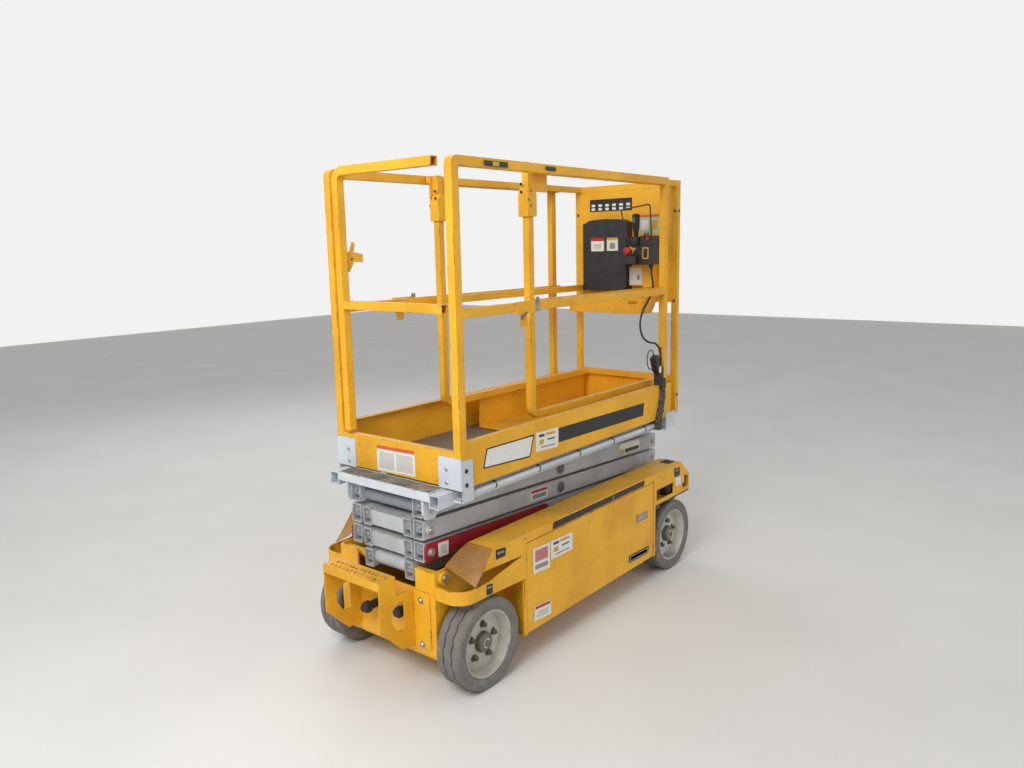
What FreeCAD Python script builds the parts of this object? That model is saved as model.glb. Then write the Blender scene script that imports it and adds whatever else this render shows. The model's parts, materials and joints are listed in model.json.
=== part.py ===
"""Small electric scissor lift with a roll-out deck, standing lowered on its four wheels.

+X runs along the machine towards the operator's panel, -X is the entry gate, +Z is up.
"right" is the -Y side and "left" the +Y side. The ground is z = 0.
"""
import FreeCAD, Part
import Sketcher
import math
import os
import re

V = FreeCAD.Vector

# Driving dimensions in millimetres, angles in degrees: name, value
DIMENSIONS = [
    # chassis
    ("chassis_half", 381), ("frame_half", 256), ("frame_wall", 8), ("plate_wall", 5),
    ("frame_low", 122), ("frame_top", 458), ("floor_wall", 8), ("frame_far_x", 913),
    ("frame_far_top", 391), ("bay_far_x", 558), ("bay_far_half", 200), ("steer_plate_wall", 10),
    ("cover_top", 522), ("cover_bottom", 119), ("cover_inner", 262), ("cover_near_x", -603),
    ("cover_slope_x", -658), ("cover_slope_z", 454.5), ("cover_far_x", 905.5), ("cover_chamfer", 76),
    ("chamfer_run", 87), ("overhang_z", 365.5), ("wedge_drop", 42), ("slope_foot_x", -394),
    ("door_near_x", -415), ("door_far_x", 553.5), ("door_top", 486), ("door_gap", 4), ("door_wall", 4),
    ("door_inset", 2), ("stop_gap", 0.3), ("bay_post", 15), ("hole_low", 385), ("hole_top", 437),
    ("end_plate_x", -775), ("end_plate_low", 134), ("end_plate_mid", 378),
    ("upright_inner", 156), ("upright_top", 455),
    ("nose_x", -941), ("nose_half", 151), ("nose_top", 450.5), ("nose_low", 160), ("nose_chin_x", -843),
    ("nose_tread_x", -865), ("nose_flange", 79), ("nose_lip", 33), ("nose_chin_z", 266),
    ("window_low", 239), ("window_top", 348), ("tooth_tall", 4),
    ("guard_low", 356.5), ("guard_tall", 50), ("guard_wall", 6), ("guard_bend", 66), ("guard_end_x", -629),
    # wheels
    ("wheel_radius", 170), ("tyre_width", 111), ("tyre_gap", 0.3), ("rim_radius", 125), ("groove_deep", 3),
    ("shoulder", 10), ("near_axle_x", -630.5), ("far_axle_x", 747), ("hub_radius", 38), ("hub_inset", 13),
    ("axle_deep", 100), ("axle_top", 203), ("kingpin_half", 340), ("kingpin_radius", 15),
    ("pin_clear", 0.3),
    ("yoke_top", 353), ("yoke_wall", 8), ("yoke_deep", 76), ("leg_out", 262), ("spindle_radius", 24),
    ("steer_arm", 100), ("steer_limit", 22), ("stud_radius", 6), ("stud_clear", 1.2),
    ("tie_rod_z", 334.5), ("tie_rod_radius", 8),
    # scissor stack
    ("pin_x", -733.4), ("arm_span", 1610), ("level_one", 427.3), ("level_pitch", 82),
    ("arm_tall", 69.5), ("arm_over", 26), ("arm_wall", 4), ("outer_low", 140),
    ("outer_high", 191), ("inner_low", 87), ("inner_high", 130), ("pin_radius", 15),
    ("bore_gap", 1), ("cross_box_deep", 66), ("cross_box_tall", 59), ("cross_tube_radius", 26),
    ("pad_tall", 44), ("pad_wide", 24), ("side_gap", 4), ("boss_gap", 5),
    ("track_near_x", 236), ("track_wall", 5), ("track_gap", 3), ("track_lip", 4),
    ("prop_long", 700), ("prop_wall", 10), ("prop_tip", 28),
    # lift cylinder, both places measured along an arm from its near pin
    ("barrel_along", 1256), ("barrel_drop", 39), ("rod_along", 175), ("barrel_radius", 37),
    ("rod_radius", 19), ("cylinder_lug", 11), ("cylinder_lug_gap", 5), ("eye_radius", 28),
    ("lug_inner", 26),
    # platform
    ("rail_half", 327), ("rail_near_x", -698), ("rail_far_x", 763), ("rail_top", 1877), ("rail_tube", 33),
    ("rail_bend", 29), ("post_tube", 30), ("left_post_back", 30), ("mid_rail_top", 1375), ("toe_top", 915),
    ("toe_wall", 4),
    ("toe_flange", 26), ("toe_far_x", 806), ("deck_top", 757.5), ("deck_wall", 5), ("deck_far_x", 823),
    ("platform_near_x", -776), ("platform_far_x", 841), ("side_tube_half", 290.5), ("side_tube_wide", 48),
    ("side_tube_low", 693), ("side_tube_top", 742), ("step_back_x", -691), ("step_top", 746),
    ("step_lip", 33), ("kick_top", 881), ("bracket_top", 863), ("bracket_low", 748.5),
    ("bracket_wide", 105),
    ("bracket_wall", 5), ("bracket_return", 57), ("far_bracket_near_x", 752), ("far_bracket_top", 772),
    ("pivot_plate_y", 198), ("pivot_plate_wall", 11), ("cross_low", 718), ("upper_track_half", 81),
    ("upper_track_far_x", 911), ("rib_deep", 66),
    ("conduit_radius", 12), ("conduit_y", -311), ("conduit_z", 723.5), ("conduit_near_x", -640),
    ("conduit_far_x", 661), ("mid_plate_near_x", -377), ("mid_plate_long", 118), ("mid_plate_drop", 48),
    # roll-out deck
    ("ext_half", 251), ("ext_tube", 29), ("ext_bend", 41), ("ext_near_x", -197), ("ext_plate_x", 52),
    ("ext_far_x", 941), ("ext_deck_top", 765), ("ext_deck_wall", 4), ("ext_rail_z", 899.5),
    ("ext_top_half", 288.5), ("ext_top_tube", 28), ("ext_top", 1874), ("ext_mid_top", 1373),
    ("end_half", 296), ("end_wall", 3), ("end_mid_top", 1322), ("end_plate_drop", 17),
    ("sleeve_foot", 184), ("sleeve_head", 74), ("sleeve_wide", 50), ("sleeve_out", 9),
    # control panel
    ("tray_near_x", 800), ("tray_low", 1239), ("tray_lip", 1318), ("tray_right", -160), ("tray_left", 261),
    ("tray_wall", 4), ("tray_flare", 34), ("slot_right", -139), ("slot_left", -89), ("slot_low", 1287),
    ("slot_tall", 15), ("folder_near_x", 852), ("folder_right", -46),
    ("folder_left", 211),
    ("folder_low", 1350), ("folder_top", 1680), ("holder_near_x", 862), ("holder_right", -193),
    ("holder_left", -137), ("holder_low", 1362), ("box_near_x", 735), ("box_far_x", 872),
    ("box_right", -247), ("box_left", -127), ("box_low", 1480), ("box_top", 1566), ("hump_top", 1616),
    ("shelf_near_x", 700), ("shelf_left", -52), ("shelf_top", 1524), ("stick_x", 770), ("stick_y", -150),
    ("boot_top", 1613), ("stick_tall", 109), ("stick_radius", 19), ("button_y", -142), ("button_z", 1546),
    ("button_radius", 19), ("hoop_radius", 3.5),
    # control cable
    ("cable_radius", 4.5), ("loop_radius", 2.5), ("plug_left", -297), ("plug_top", 1001),
    ("boot_out", -345),
    # gate
    ("gate_hinge_y", 258), ("gate_x", -686), ("gate_tube", 31), ("gate_bend", 40), ("gate_top", 1878),
    ("gate_low", 896), ("gate_open_y", -253), ("gate_mid_top", 1392), ("hinge_pin", 4), ("hinge_barrel", 8),
    ("hinge_tall", 40), ("hinge_low_z", 960), ("hinge_high_z", 1735),
]

VALUES = dict(DIMENSIONS)
doc = FreeCAD.newDocument("ScissorLift")
sheet = doc.addObject("Spreadsheet::Sheet", "Dims")
for row, (word, value) in enumerate(DIMENSIONS, start=1):
    sheet.set("A%d" % row, word)
    sheet.set("B%d" % row, str(value))
    sheet.setAlias("B%d" % row, word)
doc.recompute()

SUBPARTS = []
WORD = re.compile(r"[A-Za-z_][A-Za-z_0-9]*")


def formula(text):
    """Turn a size written with dimension names into an expression on the sheet."""
    return WORD.sub(lambda m: "Dims." + m.group(0) if m.group(0) in VALUES else m.group(0), str(text))


def bind(obj, prop, text):
    obj.setExpression(prop, formula(text))


reader = doc.addObject("App::FeaturePython", "Reader")
reader.addProperty("App::PropertyFloat", "Value")


def size(text):
    """Value in millimetres of a size written with dimension names."""
    reader.setExpression("Value", formula(text))
    reader.recompute()
    return reader.Value


def place(obj, x=0, y=0, z=0):
    for axis, text in zip("xyz", (x, y, z)):
        bind(obj, "Placement.Base." + axis, text)


def keep(obj, label):
    """Name a finished object as one of the lift's sub-parts."""
    obj.Label = label
    SUBPARTS.append(obj)
    return obj


def block(x, y, z):
    """Box between two places on each axis."""
    obj = doc.addObject("Part::Box", "Block")
    for prop, (low, high) in zip(("Length", "Width", "Height"), (x, y, z)):
        bind(obj, prop, "(%s) - (%s)" % (high, low))
    place(obj, x[0], y[0], z[0])
    return obj


TURNS = {"X": FreeCAD.Rotation(V(0, 1, 0), 90), "Y": FreeCAD.Rotation(V(1, 0, 0), -90),
         "Z": FreeCAD.Rotation()}


def rod(axis, start, radius, length):
    """Round bar from start along +X, +Y or +Z."""
    obj = doc.addObject("Part::Cylinder", "Rod")
    obj.Placement.Rotation = TURNS[axis]
    bind(obj, "Radius", radius)
    bind(obj, "Height", length)
    place(obj, *start)
    return obj


def profile(plane, points, low, high, holes=()):
    """Flat outline on a plane, raised from low to high along the plane's normal.

    Points are pairs: (x, z) on the XZ plane, (x, y) on XY, (y, z) on YZ.
    """
    body = doc.addObject("PartDesign::Body", "Body")
    sketch = body.newObject("Sketcher::SketchObject", "Outline")
    sketch.AttachmentSupport = (next(f for f in body.Origin.OriginFeatures
                                     if f.Role == plane + "_Plane"), [""])
    sketch.MapMode = "FlatFace"
    for outline in (points,) + tuple(holes):
        trace(sketch, outline)
    doc.recompute()
    pad = body.newObject("PartDesign::Pad", "Pad")
    pad.Profile = sketch
    bind(pad, "Length", "(%s) - (%s)" % (high, low))
    base = {"XZ": ("y", high), "XY": ("z", low), "YZ": ("x", low)}[plane]
    bind(body, "Placement.Base." + base[0], base[1])
    body.Tip = pad
    return body


def trace(sketch, points):
    """Closed outline of straight edges, each corner tied to the sheet."""
    where = [(size(u), size(v)) for u, v in points]
    count = len(points)
    first = sketch.GeometryCount
    for i in range(count):
        a, b = where[i], where[(i + 1) % count]
        sketch.addGeometry(Part.LineSegment(V(a[0], a[1], 0), V(b[0], b[1], 0)), False)
    for i in range(count):
        sketch.addConstraint(joint("Coincident", first + i, 2, first + (i + 1) % count, 1))
    for i, (u, v) in enumerate(points):
        for kind, text, value in (("DistanceX", u, where[i][0]), ("DistanceY", v, where[i][1])):
            index = sketch.addConstraint(joint(kind, -1, 1, first + i, 1, value))
            sketch.setExpression("Constraints[%d]" % index, formula(text))


def joint(*values):
    return Sketcher.Constraint(*values)


def fuse(*parts):
    if len(parts) == 1:
        return parts[0]
    obj = doc.addObject("Part::MultiFuse", "Fusion")
    obj.Shapes = list(parts)
    return obj


def cut(base, *tools):
    obj = doc.addObject("Part::Cut", "Cut")
    obj.Base = base
    obj.Tool = fuse(*tools)
    return obj


def rounded(base, radius, chosen):
    """Fillet the edges for which chosen(edge) holds."""
    doc.recompute()
    obj = doc.addObject("Part::Fillet", "Rounded")
    obj.Base = base
    value = size(radius)
    obj.Edges = [(i + 1, value, value) for i, edge in enumerate(base.Shape.Edges) if chosen(edge)]
    return obj


def along(edge, axis):
    """True for a straight edge that runs along one axis."""
    if edge.Curve.TypeId != "Part::GeomLine":
        return False
    return abs(abs(edge.Curve.Direction.dot(axis)) - 1) < 1e-6


def across(obj):
    """The same piece on the other side of the machine."""
    mirror = doc.addObject("Part::Mirroring", "Mirror")
    mirror.Source = obj
    mirror.Normal = V(0, 1, 0)
    return mirror


def both(obj):
    return fuse(obj, across(obj))


def turned(points, axis="Y"):
    """Body of revolution about one axis from (radius, along) corners, as a sketch and its turn."""
    body = doc.addObject("PartDesign::Body", "Body")
    sketch = body.newObject("Sketcher::SketchObject", "Section")
    sketch.AttachmentSupport = (next(f for f in body.Origin.OriginFeatures
                                     if f.Role == "XY_Plane"), [""])
    sketch.MapMode = "FlatFace"
    trace(sketch, points)
    doc.recompute()
    spin = body.newObject("PartDesign::Revolution", "Turn")
    spin.Profile = sketch
    spin.ReferenceAxis = (next(f for f in body.Origin.OriginFeatures
                               if f.Role == axis + "_Axis"), [""])
    spin.Angle = 360
    body.Tip = spin
    return body


def bent(points, radius):
    """Edges of a path with each inner corner rounded by an arc of one radius."""
    edges = []
    start = points[0]
    for before, corner, after in zip(points, points[1:], points[2:]):
        into = (corner - before).normalize()
        out = (after - corner).normalize()
        half = into.getAngle(out) / 2
        reach = radius * math.tan(half)
        first = corner - into * reach
        last = corner + out * reach
        inward = (out - into).normalize()
        middle = corner + inward * (radius / math.cos(half) - radius)
        edges.append(Part.LineSegment(start, first).toShape())
        edges.append(Part.Arc(first, middle, last).toShape())
        start = last
    edges.append(Part.LineSegment(start, points[-1]).toShape())
    return edges


def square_tube_path(points, radius, wide):
    """Solid square bar along a bent path that starts along +X, +Y or +Z."""
    edges = bent(points, radius)
    heading = (points[1] - points[0]).normalize()
    side = V(0, 1, 0) if abs(heading.y) < 0.5 else V(1, 0, 0)
    other = heading.cross(side)
    corners = [points[0] + side * (a * wide / 2) + other * (b * wide / 2)
               for a, b in ((-1, -1), (1, -1), (1, 1), (-1, 1), (-1, -1))]
    return Part.Wire(edges).makePipeShell([Part.makePolygon(corners)], True, False)


def sheet_bent(path_points, radius, low, tall, wall):
    """Upright strip of flat bar that follows a bent path seen from above."""
    edges = bent(path_points, radius)
    heading = (path_points[1] - path_points[0]).normalize()
    side = V(0, 0, 1).cross(heading)
    start = path_points[0]
    corners = [start + side * (a * wall / 2) + V(0, 0, low + b * tall)
               for a, b in ((-1, 0), (1, 0), (1, 1), (-1, 1), (-1, 0))]
    lifted = [e.translated(V(0, 0, low)) for e in edges]
    return Part.Wire(lifted).makePipeShell([Part.makePolygon(corners)], True, False)


def feature(label, shape):
    obj = doc.addObject("Part::Feature", "Formed")
    obj.Shape = shape
    if label:
        keep(obj, label)
    return obj


# Chassis: an open centre bay for the scissor stack between two side plates

def build_chassis():
    side = ("-frame_half", "-frame_half + frame_wall")
    far = ("bay_far_x", "frame_far_x - frame_wall")
    near_side = block(("end_plate_x + frame_wall", "bay_far_x"), side, ("frame_low", "frame_top"))
    axle_hole = rod("Y", ("near_axle_x", "-frame_half - 1", "wheel_radius"), "hub_radius + 6",
                    "frame_wall + 2")
    far_side = block(("bay_far_x", "frame_far_x"), side, ("overhang_z", "frame_top"))
    step = block(("bay_far_x - frame_wall", "bay_far_x"),
                 ("-frame_half + frame_wall", "-bay_far_half + frame_wall"),
                 ("frame_low + floor_wall", "overhang_z"))
    inner = block(("bay_far_x", "frame_far_x - frame_wall"), ("-bay_far_half",
                                                              "-bay_far_half + frame_wall"),
                  ("frame_low", "overhang_z - steer_plate_wall"))
    rod_slot = block(("far_axle_x - steer_arm - 18", "far_axle_x - steer_arm + 18"),
                     ("-bay_far_half - 1", "-bay_far_half + frame_wall + 1"),
                     ("tie_rod_z - 16", "overhang_z"))
    end = profile("YZ", [("-frame_half + 1", "upright_top"), ("-frame_half + 1", "end_plate_low"),
                         ("frame_half - 1", "end_plate_low"), ("frame_half - 1", "upright_top"),
                         ("upright_inner", "upright_top"), ("upright_inner", "end_plate_mid"),
                         ("-upright_inner", "end_plate_mid"), ("-upright_inner", "upright_top")],
                  "end_plate_x", "end_plate_x + frame_wall")
    far_wall = ("frame_far_x - frame_wall", "frame_far_x")
    notch, notch_z = "bay_far_half - frame_wall", "overhang_z - steer_plate_wall"
    far_low = profile("YZ", [("-bay_far_half", "frame_low"), ("bay_far_half", "frame_low"),
                             ("bay_far_half", notch_z), (notch, notch_z), (notch, "overhang_z"),
                             ("-bay_far_half + frame_wall", "overhang_z"),
                             ("-bay_far_half + frame_wall", notch_z), ("-bay_far_half", notch_z)],
                             *far_wall)
    far_high = block(far_wall, ("-frame_half", "frame_half"), ("overhang_z", "frame_far_top"))
    floor = block(("end_plate_x + frame_wall", "bay_far_x"), ("-frame_half", "frame_half"),
                  ("frame_low", "frame_low + floor_wall"))
    far_floor = block(("bay_far_x", "frame_far_x"), ("-bay_far_half", "bay_far_half"),
                      ("frame_low", "frame_low + floor_wall"))
    pin = rod("Y", ("pin_x", "-frame_half - 12", "level_one"), "pin_radius",
              "frame_half + 12 - inner_low - 2")
    head = rod("Y", ("pin_x", "-frame_half - 12", "level_one"), "pin_radius + 10", "12")
    out, inn = "-frame_half + frame_wall", "-outer_high - 2 * boss_gap"
    track_top = "level_one + pad_tall / 2 + track_gap"
    track_low = "level_one - pad_tall / 2 - track_gap"
    run = ("track_near_x", far[1])
    upper = block(run, (out, inn), (track_top, track_top + " + track_wall"))
    lower = block(run, (out, inn), (track_low + " - track_wall", track_low))
    half = fuse(cut(near_side, axle_hole), far_side, step, cut(inner, rod_slot), pin, head, upper, lower)
    keep(fuse(end, far_low, far_high, floor, far_floor, both(half)), "chassis_frame")


def build_nose():
    outline = [("nose_x", "nose_top - 4"), ("nose_x", "nose_chin_z"), ("nose_chin_x", "nose_low + 5"),
               ("end_plate_x", "nose_low"), ("end_plate_x", "end_plate_mid - 3"),
               ("nose_tread_x", "end_plate_mid"), ("nose_tread_x", "nose_top - 4")]
    window = [("nose_x + 50", "window_top - 24"), ("nose_x + 50", "window_low + 46"),
              ("nose_x + 76", "window_low + 4"), ("nose_x + 113", "window_low"),
              ("nose_x + 113", "window_top"), ("nose_x + 87", "window_top")]
    wall = profile("XZ", outline, "-nose_half", "-nose_half + plate_wall", [window])
    flange = block(("end_plate_x - plate_wall", "end_plate_x"),
                   ("-nose_half - nose_flange", "-nose_half"), ("nose_low", "end_plate_mid - 3"))
    tread = block(("nose_x", "nose_tread_x"), ("-nose_half", "nose_half"), ("nose_top - 4", "nose_top"))
    lip = block(("nose_x", "nose_x + 4"), ("-nose_half + plate_wall", "nose_half - plate_wall"),
                ("nose_top - nose_lip", "nose_top - 4"))
    # two rows of raised teeth along the step's edge
    teeth = [block(("nose_x + %g" % (9 + 30 * row), "nose_x + %g" % (22 + 30 * row)),
                   ("-nose_half + %g" % (15 + 21 * k), "-nose_half + %g" % (24 + 21 * k)),
                   ("nose_top", "nose_top + tooth_tall")) for row in range(2) for k in range(13)]
    keep(fuse(both(fuse(wall, flange)), tread, lip, *teeth), "nose_bumper")


def build_release_knobs():
    """Turning knob for lowering by hand and the push lever for freeing the brakes."""
    # where on the end plate, radius, how far it stands out from and to
    rows = [("57", "265", "19", "0", "38"), ("57", "265", "24", "38", "68"),
            ("-100", "284", "22", "0", "50")]
    pieces = [rod("X", ("end_plate_x - (%s)" % high, y, z), radius, "(%s) - (%s)" % (high, low))
              for y, z, radius, low, high in rows]
    keep(fuse(*pieces), "release_knobs")


def build_covers():
    low, high = "-chassis_half", "-chassis_half + plate_wall"
    bay_near, bay_far = "door_near_x - bay_post", "door_far_x + bay_post"
    flat_far = "cover_far_x - chamfer_run"
    outline = [("cover_near_x", "cover_top"), ("cover_slope_x", "cover_slope_z"),
               ("slope_foot_x - 38", "cover_slope_z - 10"), ("cover_near_x + 2",
                                                             "cover_slope_z - wedge_drop"),
               ("guard_end_x", "guard_low + guard_tall"), ("guard_end_x", "guard_low"),
               ("door_near_x - 5", "guard_low - 10"), (bay_near, "cover_bottom"),
               ("door_near_x", "cover_bottom"), ("door_near_x", "door_top"), ("door_far_x", "door_top"),
               ("door_far_x", "cover_bottom"), (bay_far, "cover_bottom"), (bay_far, "overhang_z"),
               ("cover_far_x", "overhang_z"), ("cover_far_x", "cover_top - cover_chamfer"),
               (flat_far, "cover_top")]
    pocket = [("door_far_x + 25", "hole_low"), ("door_far_x + 189", "hole_low"),
              ("door_far_x + 189", "hole_top"), ("door_far_x + 25", "hole_top")]
    far_hole = [("cover_far_x - 69", "hole_low"), ("cover_far_x - 9", "hole_low"),
                ("cover_far_x - 9", "hole_top"), ("cover_far_x - 69", "hole_top + 13")]
    panel = profile("XZ", outline, low, high, [pocket, far_hole])
    top = block(("cover_near_x", flat_far), (high, "-cover_inner"), ("cover_top - plate_wall", "cover_top"))
    inner = block(("cover_near_x + 9", "door_far_x"), ("-cover_inner - plate_wall", "-cover_inner"),
                  ("cover_slope_z - 18", "cover_top - plate_wall"))
    stop_out = "-chassis_half + door_inset + door_wall + stop_gap"
    stop_in = stop_out + " + door_wall"
    floor = block((bay_near, bay_far), (stop_out, "-frame_half"),
                  ("cover_bottom", "cover_bottom + plate_wall"))
    wall_z = ("cover_bottom + plate_wall", "cover_slope_z - 22")
    near_wall = profile("XY", [(bay_near, high), (bay_near + " + plate_wall", high),
                               ("slope_foot_x + plate_wall", "-frame_half"),
                               ("slope_foot_x", "-frame_half")],
                        *wall_z)
    far_wall = block(("door_far_x - 12", "door_far_x - 12 + plate_wall"), (stop_in, "-frame_half"), wall_z)
    shelf = block((bay_far, "cover_far_x"), (high, "-frame_half"),
                  ("overhang_z", "overhang_z + plate_wall"))
    boss_room = rod("Z", ("far_axle_x", "-kingpin_half", "overhang_z - 1"), "kingpin_radius + 16",
                    "plate_wall + 2")
    far_end = profile("YZ", [(high, "overhang_z + plate_wall"), ("-frame_half", "overhang_z + plate_wall"),
                             ("-frame_half", "cover_top - cover_chamfer"),
                             (high, "cover_top - cover_chamfer")],
                      "cover_far_x - plate_wall", "cover_far_x",
                      [[("-chassis_half + 26", "hole_low + 6"), ("-frame_half - 22", "hole_low + 6"),
                        ("-frame_half - 22", "hole_top - 6"), ("-chassis_half + 26", "hole_top - 6")]])
    chamfer = profile("XZ", [(flat_far, "cover_top"), ("cover_far_x", "cover_top - cover_chamfer"),
                             ("cover_far_x - plate_wall", "cover_top - cover_chamfer - 3"),
                             (flat_far + " - 2", "cover_top - plate_wall")], high, "-cover_inner")
    slope = profile("XZ", [("cover_near_x", "cover_top"), ("cover_slope_x", "cover_slope_z"),
                           ("cover_slope_x + plate_wall", "cover_slope_z - 2"),
                           ("cover_near_x + 4", "cover_top - plate_wall")], high, "-cover_inner")
    slope_room = block(("cover_slope_x - 9", "cover_near_x - 9"),
                       ("-chassis_half + 28", "-cover_inner - 22"),
                       ("cover_slope_z - 9", "cover_top - 11"))
    stops = [block((low_x, high_x), (stop_out, stop_in), ("cover_bottom", "door_top + 6"))
             for low_x, high_x in ((bay_near, "door_near_x + 12"), ("door_far_x - 12", bay_far))]
    stops.append(block(("door_near_x", "door_far_x"), (stop_out, stop_in),
                       ("door_top - 10", "door_top + 6")))
    cover = fuse(panel, top, inner, floor, near_wall, far_wall, cut(shelf, boss_room), far_end, chamfer,
                 cut(slope, slope_room), *stops)
    keep(cover, "side_cover_right")
    keep(across(cover), "side_cover_left")


def build_wheel_guards():
    """Flat bar bent round each near wheel, from the end plate's edge to the side cover."""
    wall = size("guard_wall")
    outer = -size("chassis_half") + wall / 2
    line = size("end_plate_x + frame_wall / 2")
    path = [V(line, -size("frame_half - 1"), 0), V(line, outer, 0), V(size("guard_end_x"), outer, 0)]
    strip = sheet_bent(path, size("guard_bend"), size("guard_low"), size("guard_tall"), wall)
    keep(both(feature(None, strip)), "wheel_guards")


def build_doors():
    face = "-chassis_half + door_inset"
    back = face + " + door_wall"
    hinge_x = "door_near_x + door_gap + door_wall / 2"
    z = ("cover_bottom + door_gap", "door_top - door_gap")
    panel = block((hinge_x, "door_far_x - door_gap"), (face, back), z)
    edge = rod("Z", (hinge_x, face + " + door_wall / 2", z[0]), "door_wall / 2",
               "(%s) - (%s)" % (z[1], z[0]))
    ribs = [block(("door_near_x + 22", "door_far_x - 22"), (back, back + " + 12"), (low, low + " + 9"))
            for low in ("cover_bottom + 18", "door_top - 27")]
    latch = block(("door_far_x - 143", "door_far_x - 78"), ("-chassis_half", face), ("336", "363"))
    door = fuse(panel, edge, latch, *ribs)
    keep(door, "door_right")
    keep(across(door), "door_left")


def build_inner_blocks():
    pack = block(("door_near_x + 100", "door_far_x - 368"), ("-chassis_half + 38", "-frame_half - 13"),
                 ("cover_bottom + plate_wall", "378"))
    tray = block(("door_far_x - 300", "door_far_x - 45"), ("-chassis_half + 45", "-frame_half - 15"),
                 ("cover_bottom + plate_wall", "334"))
    keep(both(pack), "battery_blocks")
    keep(both(tray), "pump_and_charger_blocks")


# Wheels, the near drive axle, and the yokes that steer the far wheels

def wheel_shapes():
    """Tyre and rim turned about Y, outer face towards -Y at y = 0."""
    half = "rim_radius + tyre_gap"
    crown = "wheel_radius - groove_deep"
    tyre = [(half, "4"), ("wheel_radius - shoulder", "0"), ("wheel_radius", "shoulder")]
    for start in ("33", "68"):
        tyre += [("wheel_radius", start), (crown, start + " + 2"), (crown, start + " + 7"),
                 ("wheel_radius", start + " + 9")]
    tyre += [("wheel_radius", "tyre_width - shoulder"), ("wheel_radius - shoulder", "tyre_width"),
             (half, "tyre_width - 4")]
    rim = [("rim_radius", "8"), ("rim_radius", "tyre_width - 8"), ("rim_radius - 8", "tyre_width - 8"),
           ("rim_radius - 11", "58"), ("hub_radius + 20", "51"), ("hub_radius", "51"),
           ("hub_radius", "tyre_width - hub_inset"), ("0", "tyre_width - hub_inset"), ("0", "16"),
           ("hub_radius - 18", "17"), ("hub_radius - 6", "24"), ("hub_radius - 3", "42"),
           ("hub_radius + 18", "42"), ("rim_radius - 16", "49"), ("rim_radius - 8", "9")]
    return turned(tyre), turned(rim)


def build_wheels():
    # corner name, axle station, side of the machine
    corners = [("near", "near_axle_x", "right"), ("near", "near_axle_x", "left"),
               ("far", "far_axle_x", "right"), ("far", "far_axle_x", "left")]
    for end, station, side in corners:
        for part, kind in zip(wheel_shapes(), ("tyre", "rim")):
            place(part, station, "-chassis_half", "wheel_radius")
            whole = part if side == "right" else across(part)
            keep(whole, "%s_%s_%s" % (kind, end, side))


def build_axles():
    hub_face = "-chassis_half + tyre_width - hub_inset + tyre_gap"
    deep = ("near_axle_x - axle_deep / 2", "near_axle_x + axle_deep / 2")
    beam = block(deep, ("-frame_half + frame_wall", "frame_half - frame_wall"),
                 ("frame_low + floor_wall", "axle_top"))
    stub = rod("Y", ("near_axle_x", hub_face, "wheel_radius"), "hub_radius - 4",
               "chassis_half - tyre_width + hub_inset - tyre_gap - frame_half + frame_wall")
    keep(fuse(beam, both(stub)), "drive_axle_beam")
    plate_z = ("overhang_z - steer_plate_wall", "overhang_z")
    inboard = block(("bay_far_x", "frame_far_x"), ("-frame_half", "-bay_far_half + frame_wall"), plate_z)
    outboard = block(("door_far_x + bay_post", "frame_far_x"),
                     ("-chassis_half + plate_wall", "-frame_half"), plate_z)
    boss = rod("Z", ("far_axle_x", "-kingpin_half", "overhang_z"), "kingpin_radius + 15", "66")
    bore = rod("Z", ("far_axle_x", "-kingpin_half", "overhang_z - 20"), "kingpin_radius + pin_clear", "100")
    middle = block(("far_axle_x - 50", "far_axle_x + 50"),
                   ("-bay_far_half + frame_wall", "bay_far_half - frame_wall"), plate_z)
    keep(fuse(middle, both(cut(fuse(inboard, outboard, boss), bore))), "steer_axle_beam")
    wide = ("far_axle_x - yoke_deep / 2", "far_axle_x + yoke_deep / 2")
    top = block(wide, ("-kingpin_half - 30", "-leg_out + 10"), ("yoke_top - yoke_wall", "yoke_top"))
    leg = block(wide, ("-leg_out", "-leg_out + 10"), ("wheel_radius - yoke_deep / 2",
                                                      "yoke_top - yoke_wall"))
    spindle = rod("Y", ("far_axle_x", hub_face, "wheel_radius"), "spindle_radius",
                  "chassis_half - tyre_width + hub_inset - tyre_gap - leg_out")
    pin = rod("Z", ("far_axle_x", "-kingpin_half", "yoke_top - yoke_wall"), "kingpin_radius", "86")
    arm = block(("far_axle_x - steer_arm - 15", "far_axle_x"), ("-kingpin_half - 12", "-kingpin_half + 12"),
                ("yoke_top - yoke_wall", "yoke_top"))
    stud = rod("Z", ("far_axle_x - steer_arm", "-kingpin_half", "tie_rod_z - 8"), "stud_radius",
               "yoke_top - tie_rod_z")
    knuckle = fuse(top, leg, spindle, pin, arm, stud)
    keep(knuckle, "knuckle_right")
    keep(across(knuckle), "knuckle_left")
    eye_x = "far_axle_x - steer_arm"
    bar = rod("Y", (eye_x, "-kingpin_half + stud_radius + 8", "tie_rod_z"), "tie_rod_radius",
              "2 * (kingpin_half - stud_radius - 8)")
    eye = rod("Z", (eye_x, "-kingpin_half", "tie_rod_z - tie_rod_radius - 2"), "stud_radius + 12",
              "2 * tie_rod_radius + 3")
    # slotted eyes, because the bar slides straight while the arms swing
    swing = "steer_arm * (1 - cos(steer_limit))"
    ends = [rod("Z", (at, "-kingpin_half", "tie_rod_z - tie_rod_radius - 3"), "stud_radius + stud_clear",
                "2 * tie_rod_radius + 6")
            for at in (eye_x, eye_x + " + " + swing)]
    between = block((eye_x, eye_x + " + " + swing),
                    ("-kingpin_half - stud_radius - stud_clear", "-kingpin_half + stud_radius + stud_clear"),
                    ("tie_rod_z - tie_rod_radius - 3", "tie_rod_z + tie_rod_radius + 3"))
    keep(fuse(bar, both(cut(eye, between, *ends))), "tie_rod")


# Scissor stack

def arm_slope():
    return math.degrees(math.asin(size("level_pitch") / size("arm_span")))


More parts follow.
